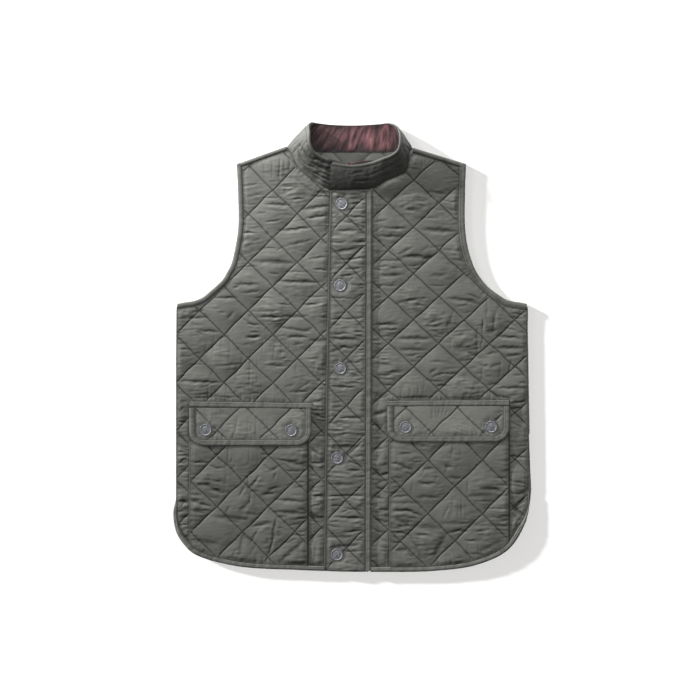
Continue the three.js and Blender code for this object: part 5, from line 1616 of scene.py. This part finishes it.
# Folds of the collar, as the other creases, with x along the band from its left end and y up from its foot
collarCreases = [
    (28, 6, 34, 1.5, 4, 0.9), (33, 11.5, 44, 1.8, -3, 1.1), (27, 17, 30, 1.5, 5, 0.9),
    (38, 22, 50, 2, 2, 1.1, 1), (26, 26.5, 26, 1.5, -6, 0.8), (44, 31, 40, 1.4, -2, 0.7),
    (58, 9, 34, 1.8, 14, 0.9), (60, 16, 30, 1.6, -12, 0.8), (68, 26, 36, 2.2, -16, 0.9),
    (76, 12, 24, 1.6, 30, 0.8), (80, 22, 22, 1.6, 62, 0.7), (88, 17, 28, 1.8, 84, 0.9),
    (95, 20, 26, 1.5, 96, 0.7), (102, 14, 22, 1.8, 80, 0.8), (110, 20, 28, 1.6, 92, 0.6),
    (119, 16, 20, 1.6, 75, 0.6), (150, 18, 24, 1.8, 86, 0.6), (171, 15, 22, 1.6, 98, 0.7),
    (196, 19, 26, 1.8, 84, 0.6), (223, 16, 22, 1.7, 92, 0.7), (251, 18, 26, 1.8, 85, 0.6),
    (284, 17, 24, 1.6, 95, 0.6), (300, 12, 26, 1.8, 70, 0.7), (312, 20, 24, 1.6, 100, 0.6),
    (326, 14, 30, 1.8, 20, 0.7), (338, 24, 28, 1.6, -8, 0.6), (352, 12, 24, 1.5, 8, 0.5),
    (366, 22, 30, 1.6, -4, 0.5), (384, 14, 26, 1.5, 4, 0.5), (398, 26, 22, 1.4, -6, 0.4),
]
seamKnots = np.array([row[0:3] for row in collarTable], float)
rimKnots = np.array([row[3:6] for row in collarTable], float)
bows = np.array([row[6] for row in collarTable], float)
lastRow = len(collarTable) - 1


# Points, outward directions and lengths along the band at fractions of its rows
def collarGrid(rows, ups):
    small = 0.05
    seam = np.array([curvePoint(seamKnots, r / lastRow) for r in rows])
    rim = np.array([curvePoint(rimKnots, r / lastRow) for r in rows])
    ahead = [min(r + small, lastRow) for r in rows]
    behind = [max(r - small, 0) for r in rows]
    seamAlong = np.array([curvePoint(seamKnots, a / lastRow) - curvePoint(seamKnots, b / lastRow)
                          for a, b in zip(ahead, behind)])
    rimAlong = np.array([curvePoint(rimKnots, a / lastRow) - curvePoint(rimKnots, b / lastRow)
                         for a, b in zip(ahead, behind)])
    up = ups if ups.ndim == 2 else np.tile(ups, (len(rows), 1))
    face = seam[:, None, :] * (1 - up[:, :, None]) + rim[:, None, :] * up[:, :, None]
    along = seamAlong[:, None, :] * (1 - up[:, :, None]) + rimAlong[:, None, :] * up[:, :, None]
    outward = np.cross((rim - seam)[:, None, :], along)
    outward = outward / np.linalg.norm(outward, axis=2)[:, :, None]
    middle = (seam + rim) / 2
    reach = np.concatenate([[0], np.cumsum(np.linalg.norm(np.diff(middle, axis=0), axis=1))])
    bow = np.interp(rows, np.arange(lastRow + 1), bows)[:, None] * 4 * up * (1 - up)
    return face, outward, reach, bow, up


def bandPiece(name, rows, ups, outerAt, innerAt, material, attribute, outerCrease, innerCrease):
    face, outward, reach, bow, up = collarGrid(rows, ups)
    outerDepth = outerAt(reach, up)
    innerDepth = innerAt(reach, up)
    outer = face + outward * (bow - outerDepth)[:, :, None]
    inner = face + outward * (bow - innerDepth)[:, :, None]
    count = up.shape[1]
    rings = np.concatenate([outer, inner[:, ::-1]], axis=1)
    points = rings.reshape(-1, 3)
    points[:, 2] = np.maximum(points[:, 2], 0.05)
    faces = outwardFaces(points, ringFaces(len(rows), 2 * count)[:-2] + bandEnds(len(rows), count))
    toneAndPaintedShade = np.concatenate([outerCrease(reach, up), innerCrease(reach, up)[:, ::-1]], axis=1).ravel()
    parts = Parts()
    parts.add(points, faces, toneAndPaintedShade)
    return parts.build(name, material, attribute, 60), reach[-1]


def bandEnds(rows, count):
    size = 2 * count
    faces = []
    for start, flip in ((0, True), ((rows - 1) * size, False)):
        for k in range(count - 1):
            quad = (start + k, start + k + 1, start + size - 2 - k, start + size - 1 - k)
            faces.append(tuple(reversed(quad)) if flip else quad)
    return faces


# The line of stitches below the collar's rim, from 0 to 1
def rimStitch(up):
    return np.exp(-((up - collarLook["stitchAt"]) / collarLook["stitchWidth"]) ** 2)


# How far the collar's rim is rolled in
def rimRoll(up):
    return smoothStep(up, collarLook["rollFrom"], 1.0) * collarLook["roll"]


def makeCollar():
    rows = np.linspace(0, lastRow, lastRow * collarLook["perRow"] + 1)
    seed = collarLook["seed"]
    # both ends have rounded corners
    corner = collarLook["corner"] / 30
    toEnd = np.minimum(lastRow - rows, rows) / corner
    cut = corner * (1 - np.sqrt(1 - np.clip(1 - toEnd, 0, 1) ** 2)) * 0.7
    t = np.linspace(0, 1, collarLook["up"])
    ups = cut[:, None] * 0.6 + (1 - 1.6 * cut[:, None]) * t[None, :]

    def outerAt(reach, up):
        s = reach[:, None] + 0 * up
        h = up * collarLook["height"]
        folds = 0.7 * noise(s / 11, h / 26, seed) + 0.5 * noise(s / 6, h / 5, seed + 1)
        placed = creaseDepth(s, h, collarCreases)[0]
        foot = np.exp(-up / 0.06) * 0.5
        free = smoothStep(up, 0, 0.12) * (1 - smoothStep(up, 0.86, 0.95))
        return (1.3 * placed - 0.6 * folds) * free + 0.5 * rimStitch(up) + rimRoll(up) + foot

    def innerAt(reach, up):
        return collarLook["wall"] - rimRoll(up)

    # painted shade on the collar's outside: its listed folds, the tab, the stitched line below the rim and
    # the foot
    def outerCrease(reach, up):
        s = reach[:, None] + 0 * up
        placed = np.clip(creaseDepth(s, up * collarLook["height"], collarCreases)[1], 0, 1) * 0.6
        fromTab = reach[-1] - s
        # painted shade on the tab, strongest towards its end
        tab = 0.2 * smoothStep(fromTab, 104, 84) + collarLook["tabPaintedShade"] * smoothStep(fromTab, 74, 46)
        # painted shadow where the tab lies over the other end
        under = collarLook["underTabPaintedShadow"] * (1 - smoothStep(s, 26, 35))
        lines = 0.7 * rimStitch(up) + 0.5 * np.exp(-up / 0.05)
        return np.clip(lines + placed + tab + under, 0, 1)

    def innerCrease(reach, up):
        return 0 * up + 0 * reach[:, None]

    piece, length = bandPiece("collar_cloth", rows, ups, outerAt, innerAt, nylon, "toneAndPaintedShade",
                              outerCrease, innerCrease)
    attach(piece, rideOn)
    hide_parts("collar")


def makeLining():
    first, last = liningLook["fromRow"], liningLook["toRow"]
    rows = np.linspace(first, last, int((last - first) * liningLook["perRow"]) + 1)
    fromBack = np.abs(rows - 10.6)
    foot = -0.06 + 0.44 * smoothStep(fromBack, 1.6, 3.4)
    t = np.linspace(0, 1, liningLook["up"])
    top = liningLook["rim"] + liningLook["peek"] * smoothStep(rows, 19.6, 20.4)
    ups = foot[:, None] + (top - foot)[:, None] * t[None, :]
    outside = collarLook["wall"] + liningLook["under"]
    seed = liningLook["seed"]

    def wale(reach):
        return 0.5 + 0.5 * np.cos(2 * np.pi * reach / liningLook["wale"])

    def liningOuter(reach, up):
        return outside + 0 * up

    def liningInner(reach, up):
        s = reach[:, None] + 0 * up
        lean = s - liningLook["lean"] * up
        folds = noise(lean / 11, up * 1.6, seed + 6) + 0.5 * noise(lean / 4.5, up * 2, seed + 8)
        free = smoothStep(up - up[:, :1], 0, 0.1) * (1 - smoothStep(up, 0.84, 0.93))
        return (outside + liningLook["wall"] + liningLook["depth"] * (wale(reach)[:, None] - 0.6)
                + 0.9 * np.clip(folds, -0.6, 1.2) * free)

    # the lining's colour value: its wale tone with painted light and shade, shaded along the folds and
    # darker at the foot and the rim
    def liningWaleAndPaintedLight(reach, up):
        s = reach[:, None] + 0 * up
        streaks = noise(s / 4.5, up * 1.8, seed) + 0.6 * noise(s / 2.2, up * 3.2, seed + 2)
        folds = noise((s - liningLook["lean"] * up) / 11, up * 1.6, seed + 6)
        foot = np.exp(-(up - up[:, :1]) / 0.09)
        rim = np.exp(-np.abs(1 - up) / 0.05)
        # painted light: lightest at the back of the neck, with painted shade towards both ends
        lit = 0.34 + 0.66 * smoothStep(rows, 9.0, 10.2) * (1 - 0.6 * smoothStep(rows, 11.2, 12.2))
        value = 0.36 + 0.4 * (wale(reach)[:, None] - 0.5) + 0.1 * streaks + 0.42 * folds
        return np.clip(value * lit[:, None] - 0.8 * foot - 0.4 * rim, 0, 1)

    piece, length = bandPiece("collar_lining_cloth", rows, ups, liningOuter, liningInner, corduroy, "wale",
                              liningWaleAndPaintedLight, liningWaleAndPaintedLight)
    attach(piece, rideOn)
    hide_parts("collar_lining")


makeCollar()
makeLining()
print("collar done")

# Snap caps: a raised edge round a shallow dome, modelled once and copied

capLook = {"height": 3.0, "edge": 1.3, "bevel": 0.35, "raised": 0.2}
# Steps of a cap's top, from its edge in: how far in and how far up
capSteps = [(0.6, -0.45), (2.2, 0.3), (2.0, 0.2), (1.6, 0.08)]


def makeCap():
    bpy.ops.object.select_all(action="DESELECT")
    height = capLook["height"] * mm
    bpy.ops.mesh.primitive_cylinder_add(vertices=48, radius=snapRadius * mm, depth=height,
                                        location=(0, 0, height / 2))
    cap = bpy.context.object
    bpy.ops.object.mode_set(mode="EDIT")
    bpy.ops.mesh.select_mode(type="FACE")
    bpy.ops.mesh.select_all(action="DESELECT")
    bpy.ops.object.mode_set(mode="OBJECT")
    topFace = max(cap.data.polygons, key=lambda p: p.center.z)
    topFace.select = True
    bpy.ops.object.mode_set(mode="EDIT")
    bpy.ops.mesh.inset(thickness=capLook["edge"] * mm)
    for inward, up in capSteps:
        bpy.ops.mesh.inset(thickness=inward * mm, depth=up * mm)
    bpy.ops.mesh.select_all(action="SELECT")
    bpy.ops.mesh.normals_make_consistent(inside=False)
    bpy.ops.object.mode_set(mode="OBJECT")
    bevel = cap.modifiers.new("edge", "BEVEL")
    bevel.width = capLook["bevel"] * mm
    bevel.segments = 3
    bevel.limit_method = "ANGLE"
    bevel.angle_limit = math.radians(35)
    bpy.ops.object.modifier_apply(modifier="edge")
    bpy.ops.object.shade_smooth_by_angle(angle=math.radians(40))
    return cap


def placeCaps():
    pattern = makeCap()
    mesh = pattern.data
    for names, base in ((placketSnaps, stitchOnFront), (flapSnaps, stitchFlap)):
        for name, (x, y) in names.items():
            copy = mesh.copy()
            copy.name = name + "_cap"
            piece = bpy.data.objects.new(name + "_cap", copy)
            scene.collection.objects.link(piece)
            for vertex in copy.vertices:
                vertex.co = vertex.co + Vector((x * mm, y * mm, (base + capLook["raised"]) * mm))
            copy.materials.clear()
            copy.materials.append(gunmetal)
            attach(piece, rideOn)
            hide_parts(name)
    bpy.data.objects.remove(pattern)


placeCaps()
print("snaps done")
